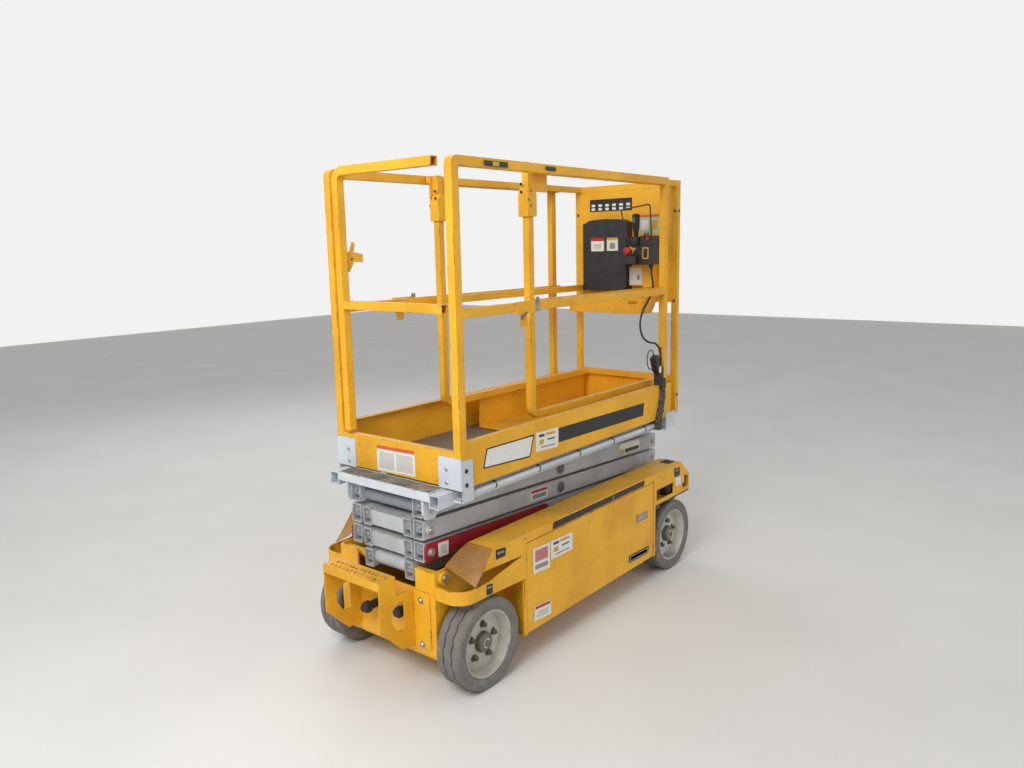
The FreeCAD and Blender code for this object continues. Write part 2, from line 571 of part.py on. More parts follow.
def arm_tube(low, high, bores):
    """Rectangular tube along +X with its near pin at the origin, open ended, bored at the given places."""
    outer = block(("-arm_over", "arm_span + arm_over"), (low, high), ("-arm_tall / 2", "arm_tall / 2"))
    room = block(("-arm_over - 1", "arm_span + arm_over + 1"), (low + " + arm_wall", high + " - arm_wall"),
                 ("-arm_tall / 2 + arm_wall", "arm_tall / 2 - arm_wall"))
    holes = [rod("Y", (at, low + " - 1", "0"), "pin_radius + bore_gap", "(%s) - (%s) + 2" % (high, low))
             for at in bores]
    return cut(outer, room, *holes)


def pinned(at, low, high):
    return rod("Y", (at, low, "0"), "pin_radius", "(%s) - (%s)" % (high, low))


def lay(obj, label, level_at_near, rising):
    """Put an arm pair on its level: rising pairs climb towards +X, falling pairs drop."""
    turn = arm_slope() if rising else -arm_slope()
    doc.recompute()
    holder = doc.addObject("Part::Compound", "Laid")
    holder.Links = [obj]
    holder.Placement = FreeCAD.Placement(V(0, 0, 0), FreeCAD.Rotation(V(0, -1, 0), turn))
    place(holder, "pin_x", "0", "level_one + %d * level_pitch" % (level_at_near - 1))
    return keep(holder, label)


def build_inner_pair(number):
    bores = ["0", "arm_span / 2"] + (["arm_span"] if number < 3 else [])
    tube = arm_tube("-inner_high", "-inner_low", bores)
    wide = ("-inner_low", "inner_low")
    if number == 1:
        near = rod("Y", ("15", "-inner_low", "0"), "cross_tube_radius + 4", "2 * inner_low")
    else:
        near = block(("-arm_over + 4", "-arm_over + 4 + cross_box_deep"), wide,
                     ("-cross_box_tall / 2", "cross_box_tall / 2"))
    if number < 3:
        far = rod("Y", ("arm_span - 66", "-inner_low", "0"), "cross_tube_radius", "2 * inner_low")
    else:
        far = block(("arm_span - 208", "arm_span - 120"), wide,
                    ("-arm_tall / 2", "-arm_tall / 2 + arm_wall"))
    parts = [both(tube), near, far]
    if number == 2:
        lug = profile("XZ", [("-arm_over + cross_box_deep", "-20"), ("rod_along + 24", "-22"),
                             ("rod_along + 24", "22"), ("-arm_over + cross_box_deep", "20")],
                      "-lug_inner - cylinder_lug - cylinder_lug_gap", "-lug_inner - cylinder_lug_gap")
        parts.append(both(lug))
    if number == 3:
        slide = rod("Y", ("arm_span", "-inner_high", "0"), "pin_radius",
                    "inner_high - inner_low + pad_wide + 12")
        parts.append(both(slide))
    lay(fuse(*parts), "inner_arms_%d" % number, number, True)


def build_outer_pair(number):
    bores = ["0"] if number == 3 else []
    tube = arm_tube("-outer_high", "-outer_low", bores)
    inward = "-inner_low - 2"
    boss = rod("Y", ("arm_span / 2", "-outer_high - boss_gap", "0"), "pin_radius + 9", "boss_gap")
    parts = [tube, boss, pinned("arm_span / 2", "-outer_high", inward)]
    if number < 3:
        parts.append(pinned("0", "-outer_high - prop_wall - 5", inward))
    if number > 1:
        parts.append(pinned("arm_span", "-outer_high - 3", inward))
    else:
        parts.append(pinned("arm_span", "-outer_high - side_gap - pad_wide", "-outer_low"))
    whole = [both(fuse(*parts))]
    if number == 1:
        whole.append(rod("Y", ("barrel_along", "-outer_low", "-barrel_drop"), "22", "2 * outer_low"))
        ear = profile("XZ", [("barrel_along - 28", "-barrel_drop - 22"),
                             ("barrel_along + 28", "-barrel_drop - 22"),
                             ("barrel_along + 28", "-arm_tall / 2 + 1"),
                             ("barrel_along - 28", "-arm_tall / 2 + 1")],
                      "-outer_high", "-outer_low")
        whole.append(both(ear))
    if number == 3:
        whole.append(rod("Y", ("20", "-outer_low", "-7"), "cross_tube_radius", "2 * outer_low"))
    lay(fuse(*whole), "outer_arms_%d" % number, number + 1, False)


def slide_pad(low, high):
    disc = rod("Y", ("arm_span", low, "0"), "pad_tall / 2", "(%s) - (%s)" % (high, low))
    bore = rod("Y", ("arm_span", low + " - 1", "0"), "pin_radius + pin_clear",
               "(%s) - (%s) + 2" % (high, low))
    return cut(disc, bore)


def build_slide_pads():
    """Round wear pads on the sliding pins of the lowest pair and of the top pair."""
    pad = slide_pad("-outer_high - side_gap - pad_wide - 13", "-outer_high - side_gap - 1")
    lay(both(pad), "lower_slide_pads", 2, False)
    pad = slide_pad("-inner_low + 9", "-inner_low + 9 + pad_wide")
    lay(both(pad), "upper_slide_pads", 3, True)


def build_props():
    """Red bars for propping the raised stack, pinned flat against the outer arms of the lowest pair."""
    outline = [("-arm_over + 9", "-arm_tall / 2 + 2"), ("-arm_over", "-arm_tall / 2 + 15"),
               ("-arm_over", "arm_tall / 2 - 15"), ("-arm_over + 9", "arm_tall / 2 - 2"),
               ("prop_long - 13", "arm_tall / 2 - 2"), ("prop_long", "arm_tall / 2 - 9"),
               ("prop_long", "arm_tall / 2 - prop_tip")]
    bar = profile("XZ", outline, "-outer_high - pin_clear - prop_wall", "-outer_high - pin_clear")
    hole = rod("Y", ("0", "-outer_high - 4 - prop_wall", "0"), "pin_radius + pin_clear", "prop_wall + 5")
    lay(both(cut(bar, hole)), "prop_bars", 2, False)


def cylinder_ends():
    """Pins of the lift cylinder in the lowered machine, as points in the XZ plane."""
    turn = math.radians(arm_slope())
    near = V(size("pin_x"), 0, size("level_one + level_pitch"))
    foot = near + V(math.cos(turn), 0, -math.sin(turn)) * size("barrel_along")
    foot += V(-math.sin(turn), 0, -math.cos(turn)) * size("barrel_drop")
    eye = near + V(math.cos(turn), 0, math.sin(turn)) * size("rod_along")
    return foot, eye


def build_cylinder():
    foot, eye = cylinder_ends()
    span = (eye - foot).Length
    tilt = math.degrees(math.atan2(eye.z - foot.z, foot.x - eye.x))
    clamp = rod("Y", ("0", "-lug_inner", "0"), "barrel_radius", "2 * lug_inner")
    bore = rod("Y", ("0", "-lug_inner - 1", "0"), "22 + bore_gap", "2 * lug_inner + 2")
    barrel = rod("X", ("32", "0", "0"), "barrel_radius", "%g" % (span - 164))
    bore_rod = rod("X", ("88", "0", "0"), "rod_radius + 0.4", "%g" % span)
    tube = cut(fuse(clamp, barrel), bore, bore_rod)
    eye_disc = rod("Y", ("%g" % span, "-lug_inner + 4", "0"), "eye_radius", "2 * lug_inner - 8")
    shaft = rod("X", ("110", "0", "0"), "rod_radius", "%g" % (span - 120))
    for obj, label in ((tube, "lift_cylinder_barrel"), (fuse(shaft, eye_disc), "lift_cylinder_rod")):
        doc.recompute()
        holder = doc.addObject("Part::Compound", "Laid")
        holder.Links = [obj]
        holder.Placement = FreeCAD.Placement(foot, FreeCAD.Rotation(V(0, 1, 0), 180 + tilt))
        keep(holder, label)


# Platform with its rails

def build_platform_frame():
    inner = "-side_tube_half + side_tube_wide"
    across_bay = (inner, "side_tube_half - side_tube_wide")
    side = block(("platform_near_x", "platform_far_x"), ("-side_tube_half", inner),
                 ("side_tube_low", "side_tube_top"))
    room = block(("platform_near_x - 1", "platform_near_x + 131"), ("-side_tube_half + 4", inner + " - 4"),
                 ("side_tube_low + 4", "side_tube_top - 4"))
    side = cut(side, room)
    far_bracket = block(("platform_far_x - 83", "platform_far_x"), ("-rail_half", "-side_tube_half"),
                        ("side_tube_low - 4", "deck_top - deck_wall"))
    far_side = block(("far_bracket_near_x", "platform_far_x"), ("-rail_half - bracket_wall", "-rail_half"),
                     ("side_tube_low - 4", "far_bracket_top"))
    level = "level_one + 3 * level_pitch"
    plate = profile("XZ", [("pin_x - 37", "cross_low"), ("pin_x - 37", level + " - 7"),
                           ("pin_x - 24", level + " - 37"), ("pin_x + 15", level + " - 41"),
                           ("pin_x + 48", level + " - 11"), ("pin_x + 65", "cross_low")],
                    "-pivot_plate_y - pivot_plate_wall", "-pivot_plate_y")
    pin = rod("Y", ("pin_x", "-pivot_plate_y - pivot_plate_wall", level), "pin_radius",
              "pivot_plate_y + pivot_plate_wall - outer_low - 2")
    y0, y1 = "-upper_track_half", "-upper_track_half + 33"
    low = level + " - pad_tall / 2 - track_gap"
    high = level + " + pad_tall / 2 + track_gap"
    run = ("track_near_x", "upper_track_far_x")
    web = block(run, (y1, y1 + " + track_wall"), (low + " - track_lip", "cross_low"))
    shelf = block(run, (y0, y1), (low + " - track_lip", low))
    lid = block(run, (y0, y1), (high, high + " + track_lip"))
    half = fuse(side, far_bracket, far_side, plate, pin, web, shelf, lid)
    step = block(("platform_near_x", "step_back_x"), across_bay, ("step_top - 6", "step_top"))
    lips = [block((x0, x1), across_bay, ("step_top - step_lip", "step_top - 6"))
            for x0, x1 in (("platform_near_x", "platform_near_x + 4"), ("step_back_x - 4", "step_back_x"))]
    # near ends of the deck's cross channels
    ribs = [block((at, at + " + rib_deep"), across_bay, ("cross_low", "deck_top - deck_wall"))
            for at in ("-619", "-204", "211", "605", "platform_far_x - 5")]
    keep(fuse(both(half), step, *(lips + ribs)), "platform_frame")


def build_entry_brackets():
    """Corner plates that carry the rails' near posts on the side tubes."""
    front = "-rail_half - bracket_wall"
    face = block(("rail_near_x - bracket_wall", "rail_near_x"), (front, "-rail_half + bracket_wide"),
                 ("bracket_low", "bracket_top"))
    side = block(("rail_near_x", "rail_near_x + bracket_return"), (front, "-rail_half"),
                 ("side_tube_low + 11", "bracket_top - 9"))
    foot = block(("rail_near_x - bracket_wall", "rail_near_x + bracket_return"),
                 ("-rail_half", "-side_tube_half"),
                 ("side_tube_low + 11", "side_tube_low + 22"))
    keep(both(fuse(face, side, foot)), "entry_brackets")


def build_deck():
    edge, notch = "rail_near_x + toe_wall + 1", "rail_near_x + rail_tube + 1"
    wide, narrow = "rail_half - toe_wall", "rail_half - rail_tube - 1"
    right_wide, right_narrow = "-rail_half + toe_wall", "-rail_half + rail_tube + 1"
    plate = profile("XY", [(edge, right_narrow), (notch, right_narrow), (notch, right_wide),
                           ("deck_far_x", right_wide), ("deck_far_x", wide), (notch, wide),
                           (notch, narrow), (edge, narrow)],
                    "deck_top - deck_wall", "deck_top")
    keep(plate, "deck_plate")
    run = ("rail_near_x + rail_tube", "toe_far_x")
    web = block(run, ("-rail_half", "-rail_half + toe_wall"), ("deck_top - deck_wall", "toe_top"))
    flange = block(run, ("-rail_half", "-rail_half + toe_flange"), ("toe_top - toe_wall", "toe_top"))
    toe = fuse(web, flange)
    keep(toe, "toe_board_right")
    keep(across(toe), "toe_board_left")
    between = ("-rail_half + rail_tube", "rail_half - rail_tube")
    kick = block(("rail_near_x", "rail_near_x + toe_wall"), between, ("deck_top - deck_wall", "kick_top"))
    fold = block(("rail_near_x", "rail_near_x + toe_flange"), between, ("kick_top - toe_wall", "kick_top"))
    keep(fuse(kick, fold), "kick_plate")
    conduit = rod("X", ("conduit_near_x", "conduit_y", "conduit_z"), "conduit_radius",
                  "conduit_far_x - conduit_near_x")
    clips = [block((at, at + " + 14"), ("conduit_y - 4", "-side_tube_half"),
                   ("conduit_z - 7", "conduit_z + 7"))
             for at in ("-575", "-138", "299", "560")]
    keep(fuse(conduit, *clips), "cable_conduit")


def build_rails():
    wide = ("-rail_half", "-rail_half + rail_tube")
    post = block(("rail_near_x", "rail_near_x + rail_tube"), wide, ("bracket_low", "rail_top"))
    top = block(("rail_near_x + rail_tube", "rail_far_x"), wide, ("rail_top - rail_tube", "rail_top"))
    corner_x, corner_z = size("rail_near_x"), size("rail_top")
    bar = rounded(fuse(post, top), "rail_bend", lambda edge: along(edge, V(0, 1, 0))
                  and abs(edge.Vertexes[0].X - corner_x) < 0.1 and abs(edge.Vertexes[0].Z - corner_z) < 0.1)
    mid = block(("rail_near_x + rail_tube", "rail_far_x"), wide,
                ("mid_rail_top - rail_tube", "mid_rail_top"))
    posts = [block(("rail_far_x - post_tube - " + back, "rail_far_x - " + back),
                   ("-rail_half", "-rail_half + post_tube"), ("toe_top", "rail_top - rail_tube"))
             for back in ("0", "left_post_back")]
    under = "mid_rail_top - rail_tube - 7"
    plate = profile("XZ", [("mid_plate_near_x", "mid_rail_top + 5"), ("mid_plate_near_x", under),
                           ("mid_plate_near_x + 20", under), ("mid_plate_near_x + 20",
                                                              under + " - mid_plate_drop"),
                           ("mid_plate_near_x + 57", under + " - mid_plate_drop"),
                           ("mid_plate_near_x + 57", under),
                           ("mid_plate_near_x + mid_plate_long", under),
                           ("mid_plate_near_x + mid_plate_long", "mid_rail_top + 5")],
                    "-rail_half - 4", "-rail_half")
    right, left = [fuse(bar, mid, post, plate) for post in posts]
    keep(right, "guard_rail_right")
    hinges = []
    for at in ("hinge_low_z", "hinge_high_z"):
        hinges.append(rod("Z", ("gate_x + 7", "gate_hinge_y + 11", at + " - 8"), "hinge_pin",
                          "hinge_tall + 16"))
        for low in (at + " - 8", at + " + hinge_tall + 1"):
            hinges.append(block(("gate_x", "gate_x + 14"), ("gate_hinge_y + 4", "rail_half - rail_tube"),
                                (low, low + " + 7")))
    keep(fuse(across(left), *hinges), "guard_rail_left")


def build_extension():
    far = "ext_far_x - ext_tube"
    deck = block(("ext_plate_x", "ext_far_x - end_wall"), ("-ext_half + 2", "ext_half - 2"),
                 ("ext_deck_top - ext_deck_wall", "ext_deck_top"))
    side = block(("ext_plate_x", far), ("-ext_half", "-ext_half + ext_deck_wall"),
                 ("ext_deck_top - ext_deck_wall", "ext_rail_z"))
    end_low = "ext_deck_top - ext_deck_wall - end_plate_drop"
    end = block(("ext_far_x - end_wall", "ext_far_x"), ("-end_half", "end_half"),
                (end_low, "ext_rail_z + ext_tube"))
    strip = block(("ext_plate_x + 22", "toe_far_x - 66"), ("-ext_half + 22", "-ext_half + 55"),
                  ("deck_top + pin_clear", "ext_deck_top - ext_deck_wall"))
    keep(fuse(deck, both(fuse(side, strip)), end), "extension_deck")
    half = size("ext_tube") / 2
    x0 = size("ext_near_x") + half
    y = -size("ext_half") + half
    low = size("ext_rail_z") + half
    path = [V(size(far), y, low), V(x0, y, low), V(x0, y, size("ext_top"))]
    bar = feature(None, square_tube_path(path, size("ext_bend"), size("ext_tube")))
    wide = ("-ext_half", "-ext_half + ext_tube")
    mid = block(("ext_near_x + ext_tube", far), wide, ("ext_mid_top - ext_tube", "ext_mid_top"))
    top = block(("ext_near_x", far), ("-ext_top_half", "-ext_top_half + ext_top_tube"),
                ("ext_top - ext_top_tube", "ext_top"))
    bracket = block(("ext_near_x - 12", "ext_near_x + 106"), ("-ext_top_half + ext_top_tube", "-ext_half"),
                    ("ext_top - 92", "ext_top - 1"))
    middle = "ext_near_x + ext_tube / 2"
    near, away = middle + " - sleeve_wide / 2", middle + " + sleeve_wide / 2"
    low, high = "ext_top - sleeve_foot", "ext_top - sleeve_head"
    sleeve = profile("XZ", [(near, low), (away, low), (away, high + " - 26"), (away + " - 13", high),
                            (near + " + 13", high), (near, high + " - 26")],
                     "-ext_half - sleeve_out", "-ext_half - sleeve_out + sleeve_wide")
    rail = fuse(bar, mid, top, bracket, sleeve)
    keep(rail, "extension_rail_right")
    keep(across(rail), "extension_rail_left")
    post = block((far, "ext_far_x - end_wall"), ("-end_half", "-end_half + ext_tube"), (end_low, "ext_top"))
    between = ("-end_half + ext_tube", "end_half - ext_tube")
    bars = [block((far, "ext_far_x - end_wall"), between, (top_z + " - ext_tube", top_z))
            for top_z in ("ext_top", "end_mid_top", "ext_rail_z + ext_tube")]
    keep(fuse(both(post), *bars), "end_frame")
    keep(block((far, far + " + end_wall"), between, ("end_mid_top", "ext_top - ext_tube")), "end_sheet")


def build_controls():
    face = "ext_far_x - ext_tube"
    outline = [("tray_right", "tray_low"), ("tray_left", "tray_low"), ("tray_left", "tray_lip"),
               ("tray_right - tray_flare", "tray_lip")]
    slot = [("slot_right", "slot_low"), ("slot_left", "slot_low"), ("slot_left", "slot_low + slot_tall"),
            ("slot_right", "slot_low + slot_tall")]
    front = profile("YZ", outline, "tray_near_x", "tray_near_x + tray_wall", [slot])
    back = profile("YZ", outline, face + " - tray_wall", face)
    between = ("tray_near_x + tray_wall", face + " - tray_wall")
    floor = block(between, ("tray_right", "tray_left"), ("tray_low", "tray_low + tray_wall"))
    left_end = block(between, ("tray_left - tray_wall", "tray_left"), ("tray_low + tray_wall", "tray_lip"))
    flared = [("tray_right", "tray_low + tray_wall"), ("tray_right + tray_wall", "tray_low + tray_wall"),
              ("tray_right + tray_wall - tray_flare", "tray_lip"), ("tray_right - tray_flare", "tray_lip")]
    right_end = profile("YZ", flared, *between)
    keep(fuse(front, back, floor, left_end, right_end), "document_tray")
    holder = block(("holder_near_x", face), ("holder_right", "holder_left"), ("holder_low", "box_low"))
    plate = block(("holder_near_x + 14", "holder_near_x + 18"), ("holder_left", "folder_right - 4"),
                  ("holder_low + 10", "box_low - 12"))
    keep(fuse(holder, plate), "control_bracket")
    crown = profile("YZ", [("folder_right", "folder_low"), ("folder_left", "folder_low"),
                           ("folder_left", "folder_top + 3"), ("folder_left - 44", "folder_top + 21"),
                           ("folder_left - 134", "folder_top + 26"),
                           ("folder_right + 30", "folder_top + 21"),
                           ("folder_right", "folder_top + 8")], "folder_near_x", face)
    keep(crown, "document_box")
    case = block(("box_near_x", "box_far_x"), ("box_right", "box_left"), ("box_low", "box_top"))
    hump = block(("box_near_x + 20", "box_far_x - 22"), ("box_right", "stick_y - 31"),
                 ("box_top", "hump_top"))
    boot = rod("Z", ("stick_x", "stick_y", "box_top"), "stick_radius + 7", "boot_top - box_top")
    shelf = block(("shelf_near_x", "box_near_x"), ("box_right + 60", "shelf_left"),
                  ("box_low + 4", "shelf_top"))
    shelf_side = block(("box_near_x", "box_near_x + 55"), ("box_left", "shelf_left"),
                       ("box_low + 4", "shelf_top"))
    keep(fuse(cut(fuse(case, hump), boot), boot, shelf, shelf_side), "control_box")
    keep(rod("Z", ("stick_x", "stick_y", "boot_top"), "stick_radius", "stick_tall"), "joystick")
    button = rod("X", ("box_near_x - 45", "button_y", "button_z"), "button_radius", "22")
    stem = rod("X", ("box_near_x - 23", "button_y", "button_z"), "button_radius / 2", "23")
    keep(fuse(button, stem), "stop_button")


def build_stick_guard():
    """Bent wire hoop that stands over the joystick on the panel's top."""
    x, y = size("stick_x"), size("stick_y")
    foot, hump, top = size("box_top"), size("hump_top"), size("boot_top + stick_tall")
    points = [V(x - 28, y + 14, foot - 10), V(x - 28, y + 68, top + 19), V(x + 20, y - 64, top + 42),
              V(x + 20, y - 74, hump - 10)]
    line = Part.Wire(bent(points, 12))
    section = Part.Wire([Part.makeCircle(size("hoop_radius"), points[0], points[1] - points[0])])
    hoop = line.makePipeShell([section], True, False)
    # cut flush with the case's top and with its hump's top
    case_top = Part.makeBox(200, 300, 60, V(x - 100, y - 150, foot - 60))
    step_top = Part.makeBox(200, 100, 60, V(x - 100, size("stick_y - 31") - 100, hump - 60))
    feature("stick_guard", hoop.cut(case_top).cut(step_top))


# Control cable: from the panel's underside round a slack loop to the far post, and down to its plug

CABLE_RUN = [(770, -234, 1480), (770, -234, 1436), (756, -254, 1394), (718, -270, 1352), (662, -278, 1312),
             (604, -282, 1270), (570, -288, 1212), (585, -295, 1152), (640, -300, 1122), (690, -306, 1118),
             (721, -313, 1084), (723, -315, 1042), (723, -315, 1001)]
LOOP_RUN = [(667, -311, 1055), (656, -312, 1086), (622, -310, 1092), (598, -313, 1060), (600, -314, 1020),
            (630, -313, 994), (671, -311, 1000)]


def cable(run, radius, label):
    """Round cable along straight runs, every corner rounded as far as its shorter run allows."""
    points = [V(*p) for p in run]
    edges = []
    start = points[0]
    tightest = None
    for before, corner, after in zip(points, points[1:], points[2:]):
        into, out = (corner - before), (after - corner)
        shorter = min(into.Length, out.Length)
        into.normalize()
        out.normalize()
        half = into.getAngle(out) / 2
        bend = 0.45 * shorter / math.tan(half)
        tightest = bend if tightest is None else min(tightest, bend)
        inward = (out - into).normalize()
        first, last = corner - into * (0.45 * shorter), corner + out * (0.45 * shorter)
        middle = corner + inward * (bend / math.cos(half) - bend)
        edges.append(Part.LineSegment(start, first).toShape())
        edges.append(Part.Arc(first, middle, last).toShape())
        start = last
    edges.append(Part.LineSegment(start, points[-1]).toShape())
    heading = (points[1] - points[0]).normalize()
    section = Part.Wire([Part.makeCircle(radius, points[0], heading)])
    line = Part.Wire(edges)
    solid = line.makePipeShell([section], True, False)
    print("%s: length %.0f, tightest bend %.1f, diameter %.1f, volume ratio %.3f"
          % (label, line.Length, tightest, 2 * radius, solid.Volume / (math.pi * radius ** 2 * line.Length)))
    feature(label, solid)


def build_cable():
    cable(CABLE_RUN, size("cable_radius"), "control_cable")
    cable(LOOP_RUN, size("loop_radius"), "plug_strap")
    post = "rail_far_x - post_tube"
    body = profile("XZ", [(post + " - 40", "toe_top"), (post, "toe_top"), (post, "plug_top"),
                          (post + " - 29", "plug_top"), (post + " - 49", "plug_top + 60"),
                          (post + " - 83", "plug_top + 48"), (post + " - 57", "plug_top - 18"),
                          (post + " - 40", "toe_top + 54")], "-rail_half", "plug_left")
    collar = block((post + " - 43", post + " - 9"), ("boot_out", "-rail_half"),
                   ("toe_top - 12", "toe_top + 34"))
    keep(fuse(body, collar), "cable_plug")
    boot = profile("XZ", [(post + " - 38", "toe_top - 12"), (post + " - 43", "toe_top - 60"),
                          (post + " - 84", "conduit_z + 18"), (post + " - 48", "conduit_z + 18"),
                          (post + " - 13", "toe_top - 60"), (post + " - 14", "toe_top - 12")],
                   "boot_out", "-rail_half")
    foot = block(("conduit_far_x", "conduit_far_x + 32"), ("boot_out", "conduit_y + conduit_radius"),
                 ("conduit_z - 18", "conduit_z + 18"))
    keep(fuse(boot, foot), "cable_boot")


def build_gate():
    half = size("gate_tube") / 2
    x = size("gate_x") - half
    y = size("gate_hinge_y") - half
    top = size("gate_top") - half
    path = [V(x, y, size("gate_low")), V(x, y, top), V(x, size("gate_open_y"), top)]
    frame = feature(None, square_tube_path(path, size("gate_bend"), size("gate_tube")))
    deep = ("gate_x - gate_tube", "gate_x")
    mid = block(deep, ("gate_open_y - 26", "gate_hinge_y - gate_tube"),
                ("gate_mid_top - gate_tube", "gate_mid_top"))
    ends = [block(("gate_x - gate_tube + 3", "gate_x - 3"), (low, high),
                  (bottom + " + 3", bottom + " + gate_tube - 3"))
            for low, high, bottom in (("gate_open_y - 1", "gate_open_y + 66", "gate_top - gate_tube"),
                                      ("gate_open_y - 27", "gate_open_y + 40", "gate_mid_top - gate_tube"))]
    barrels = []
    for at in ("hinge_low_z", "hinge_high_z"):
        ring = rod("Z", ("gate_x + 7", "gate_hinge_y + 11", at), "hinge_barrel", "hinge_tall")
        leaf = block(("gate_x - 9", "gate_x + 7"), ("gate_hinge_y - 7", "gate_hinge_y + 10"),
                     (at, at + " + hinge_tall"))
        bore = rod("Z", ("gate_x + 7", "gate_hinge_y + 11", at + " - 1"), "hinge_pin + pin_clear",
                   "hinge_tall + 2")
        barrels.append(cut(fuse(ring, leaf), bore))
    keep(fuse(cut(fuse(frame, mid), *ends), *barrels), "gate")


def write_parts():
    doc.recompute()
    for obj in doc.Objects:
        if {"Invalid", "Error"} & set(obj.State):
            raise RuntimeError("failed object: %s %s" % (obj.Name, obj.State))
    os.makedirs("parts", exist_ok=True)
    total = 0
    for obj in SUBPARTS:
        shape = obj.Shape
        if shape.isNull() or not shape.isValid():
            raise RuntimeError("bad shape: " + obj.Label)
        shape.exportStep("parts/%s.step" % obj.Label)
        total += 1
    print("parts written:", total)


build_chassis()
build_nose()
build_release_knobs()
build_covers()
build_wheel_guards()
build_doors()
build_inner_blocks()
build_wheels()
build_axles()
for pair in (1, 2, 3):
    build_inner_pair(pair)
    build_outer_pair(pair)
build_slide_pads()
build_props()
build_cylinder()
build_platform_frame()
build_entry_brackets()
build_deck()
build_rails()
build_extension()
build_controls()
build_stick_guard()
build_cable()
build_gate()
write_parts()
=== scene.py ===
import json
import math

import bmesh
import bpy
from mathutils import Matrix, Vector


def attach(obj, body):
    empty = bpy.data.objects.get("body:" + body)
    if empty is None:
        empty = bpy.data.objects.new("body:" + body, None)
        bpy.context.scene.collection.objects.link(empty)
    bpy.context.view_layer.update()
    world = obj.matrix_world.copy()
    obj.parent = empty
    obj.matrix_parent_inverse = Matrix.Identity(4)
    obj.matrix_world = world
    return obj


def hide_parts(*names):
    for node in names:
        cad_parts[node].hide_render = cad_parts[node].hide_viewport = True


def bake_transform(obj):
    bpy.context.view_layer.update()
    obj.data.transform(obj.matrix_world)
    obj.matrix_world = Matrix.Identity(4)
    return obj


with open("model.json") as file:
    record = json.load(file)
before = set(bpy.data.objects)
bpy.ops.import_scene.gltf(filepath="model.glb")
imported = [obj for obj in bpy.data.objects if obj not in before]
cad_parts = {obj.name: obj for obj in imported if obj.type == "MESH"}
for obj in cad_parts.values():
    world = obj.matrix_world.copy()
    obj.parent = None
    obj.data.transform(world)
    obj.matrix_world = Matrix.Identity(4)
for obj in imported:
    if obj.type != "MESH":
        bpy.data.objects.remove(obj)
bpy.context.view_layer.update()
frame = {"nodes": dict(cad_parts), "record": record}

MM = 0.001
SIDES = (("right", -1), ("left", 1))


def linear(code):
    """sRGB hex colour as linear RGBA."""
    parts = [int(code[i:i + 2], 16) / 255 for i in (1, 3, 5)]
    return tuple(p / 12.92 if p <= 0.04045 else ((p + 0.055) / 1.055) ** 2.4 for p in parts) + (1.0,)


# Camera at the photograph's place, in millimetres and degrees

CAMERA = {"place": (-2653.8, -2158.8, 1578.6), "yaw": 50.755, "pitch": -9.70, "roll": -1.224,
          "lens": 28.25, "sensor": 36.0}


def stand_camera():
    yaw, pitch, roll = (math.radians(CAMERA[k]) for k in ("yaw", "pitch", "roll"))
    ahead = Vector((math.sin(yaw) * math.cos(pitch), math.cos(yaw) * math.cos(pitch), math.sin(pitch)))
    right = Vector((math.cos(yaw), -math.sin(yaw), 0))
    up = right.cross(ahead)
    right, up = (right * math.cos(roll) + up * math.sin(roll), up * math.cos(roll) - right * math.sin(roll))
    data = bpy.data.cameras.new("camera")
    data.lens = CAMERA["lens"]
    data.sensor_width = CAMERA["sensor"]
    data.clip_end = 60
    camera = bpy.data.objects.new("camera", data)
    turn = Matrix((right, up, -ahead)).transposed().to_4x4()
    camera.matrix_world = Matrix.Translation(Vector(CAMERA["place"]) * MM) @ turn
    bpy.context.scene.collection.objects.link(camera)
    bpy.context.scene.camera = camera


stand_camera()


# Shader nodes. A source is (node, its output's name).

def add(tree, kind, settings=(), links=()):
    """One node: settings are (attribute or socket, value), links are (its socket, a node, its output)."""
    made = tree.nodes.new(kind)
    for name, value in settings:
        if isinstance(name, str) and hasattr(made, name) and name not in made.inputs:
            setattr(made, name, value)
        else:
            made.inputs[name].default_value = value
    for socket, source, output in links:
        tree.links.new(source.outputs[output], made.inputs[socket])
    return made


def blank_material(name):
    """An empty material: itself, its node tree, its shader and the source of object coordinates."""
    material = bpy.data.materials.new(name)
    material.use_nodes = True
    tree = material.node_tree
    tree.nodes.clear()
    shader = add(tree, "ShaderNodeBsdfPrincipled")
    add(tree, "ShaderNodeOutputMaterial", links=[("Surface", shader, "BSDF")])
    return material, tree, shader, (add(tree, "ShaderNodeTexCoord"), "Object")


def per_metre(millimetres):
    """Pattern scale for features that repeat every so many millimetres."""
    return 1000.0 / millimetres


def noise(tree, place, size, detail, roughness=0.5):
    """Clouds about so many millimetres apart."""
    made = add(tree, "ShaderNodeTexNoise",
               [("Scale", per_metre(size)), ("Detail", detail), ("Roughness", roughness)], [("Vector", *place)])
    return made, "Fac"


def stretched(tree, place, scale):
    """The place scaled by axis, so that a pattern on it is finer along the axes with larger numbers."""
    return add(tree, "ShaderNodeMapping", [("Scale", scale)], [("Vector", *place)]), "Vector"


def remap(tree, source, start=0.0, end=1.0, low=0.0, high=1.0):
    """The source's values from start to end, spread over low to high."""
    made = add(tree, "ShaderNodeMapRange",
               [("From Min", start), ("From Max", end), ("To Min", low), ("To Max", high)], [("Value", *source)])
    return made, "Result"


def combine(tree, operation, first, second):
    """Two sources joined by an operation of the maths node."""
    made = add(tree, "ShaderNodeMath", [("operation", operation)], [(0, *first), (1, *second)])
    return made, "Value"


def cover_with(tree, code, amount, below):
    """A flat colour laid over another source by an amount."""
    made = add(tree, "ShaderNodeMixRGB", [("Color2", linear(code))], [("Fac", *amount), ("Color1", *below)])
    return made, "Color"


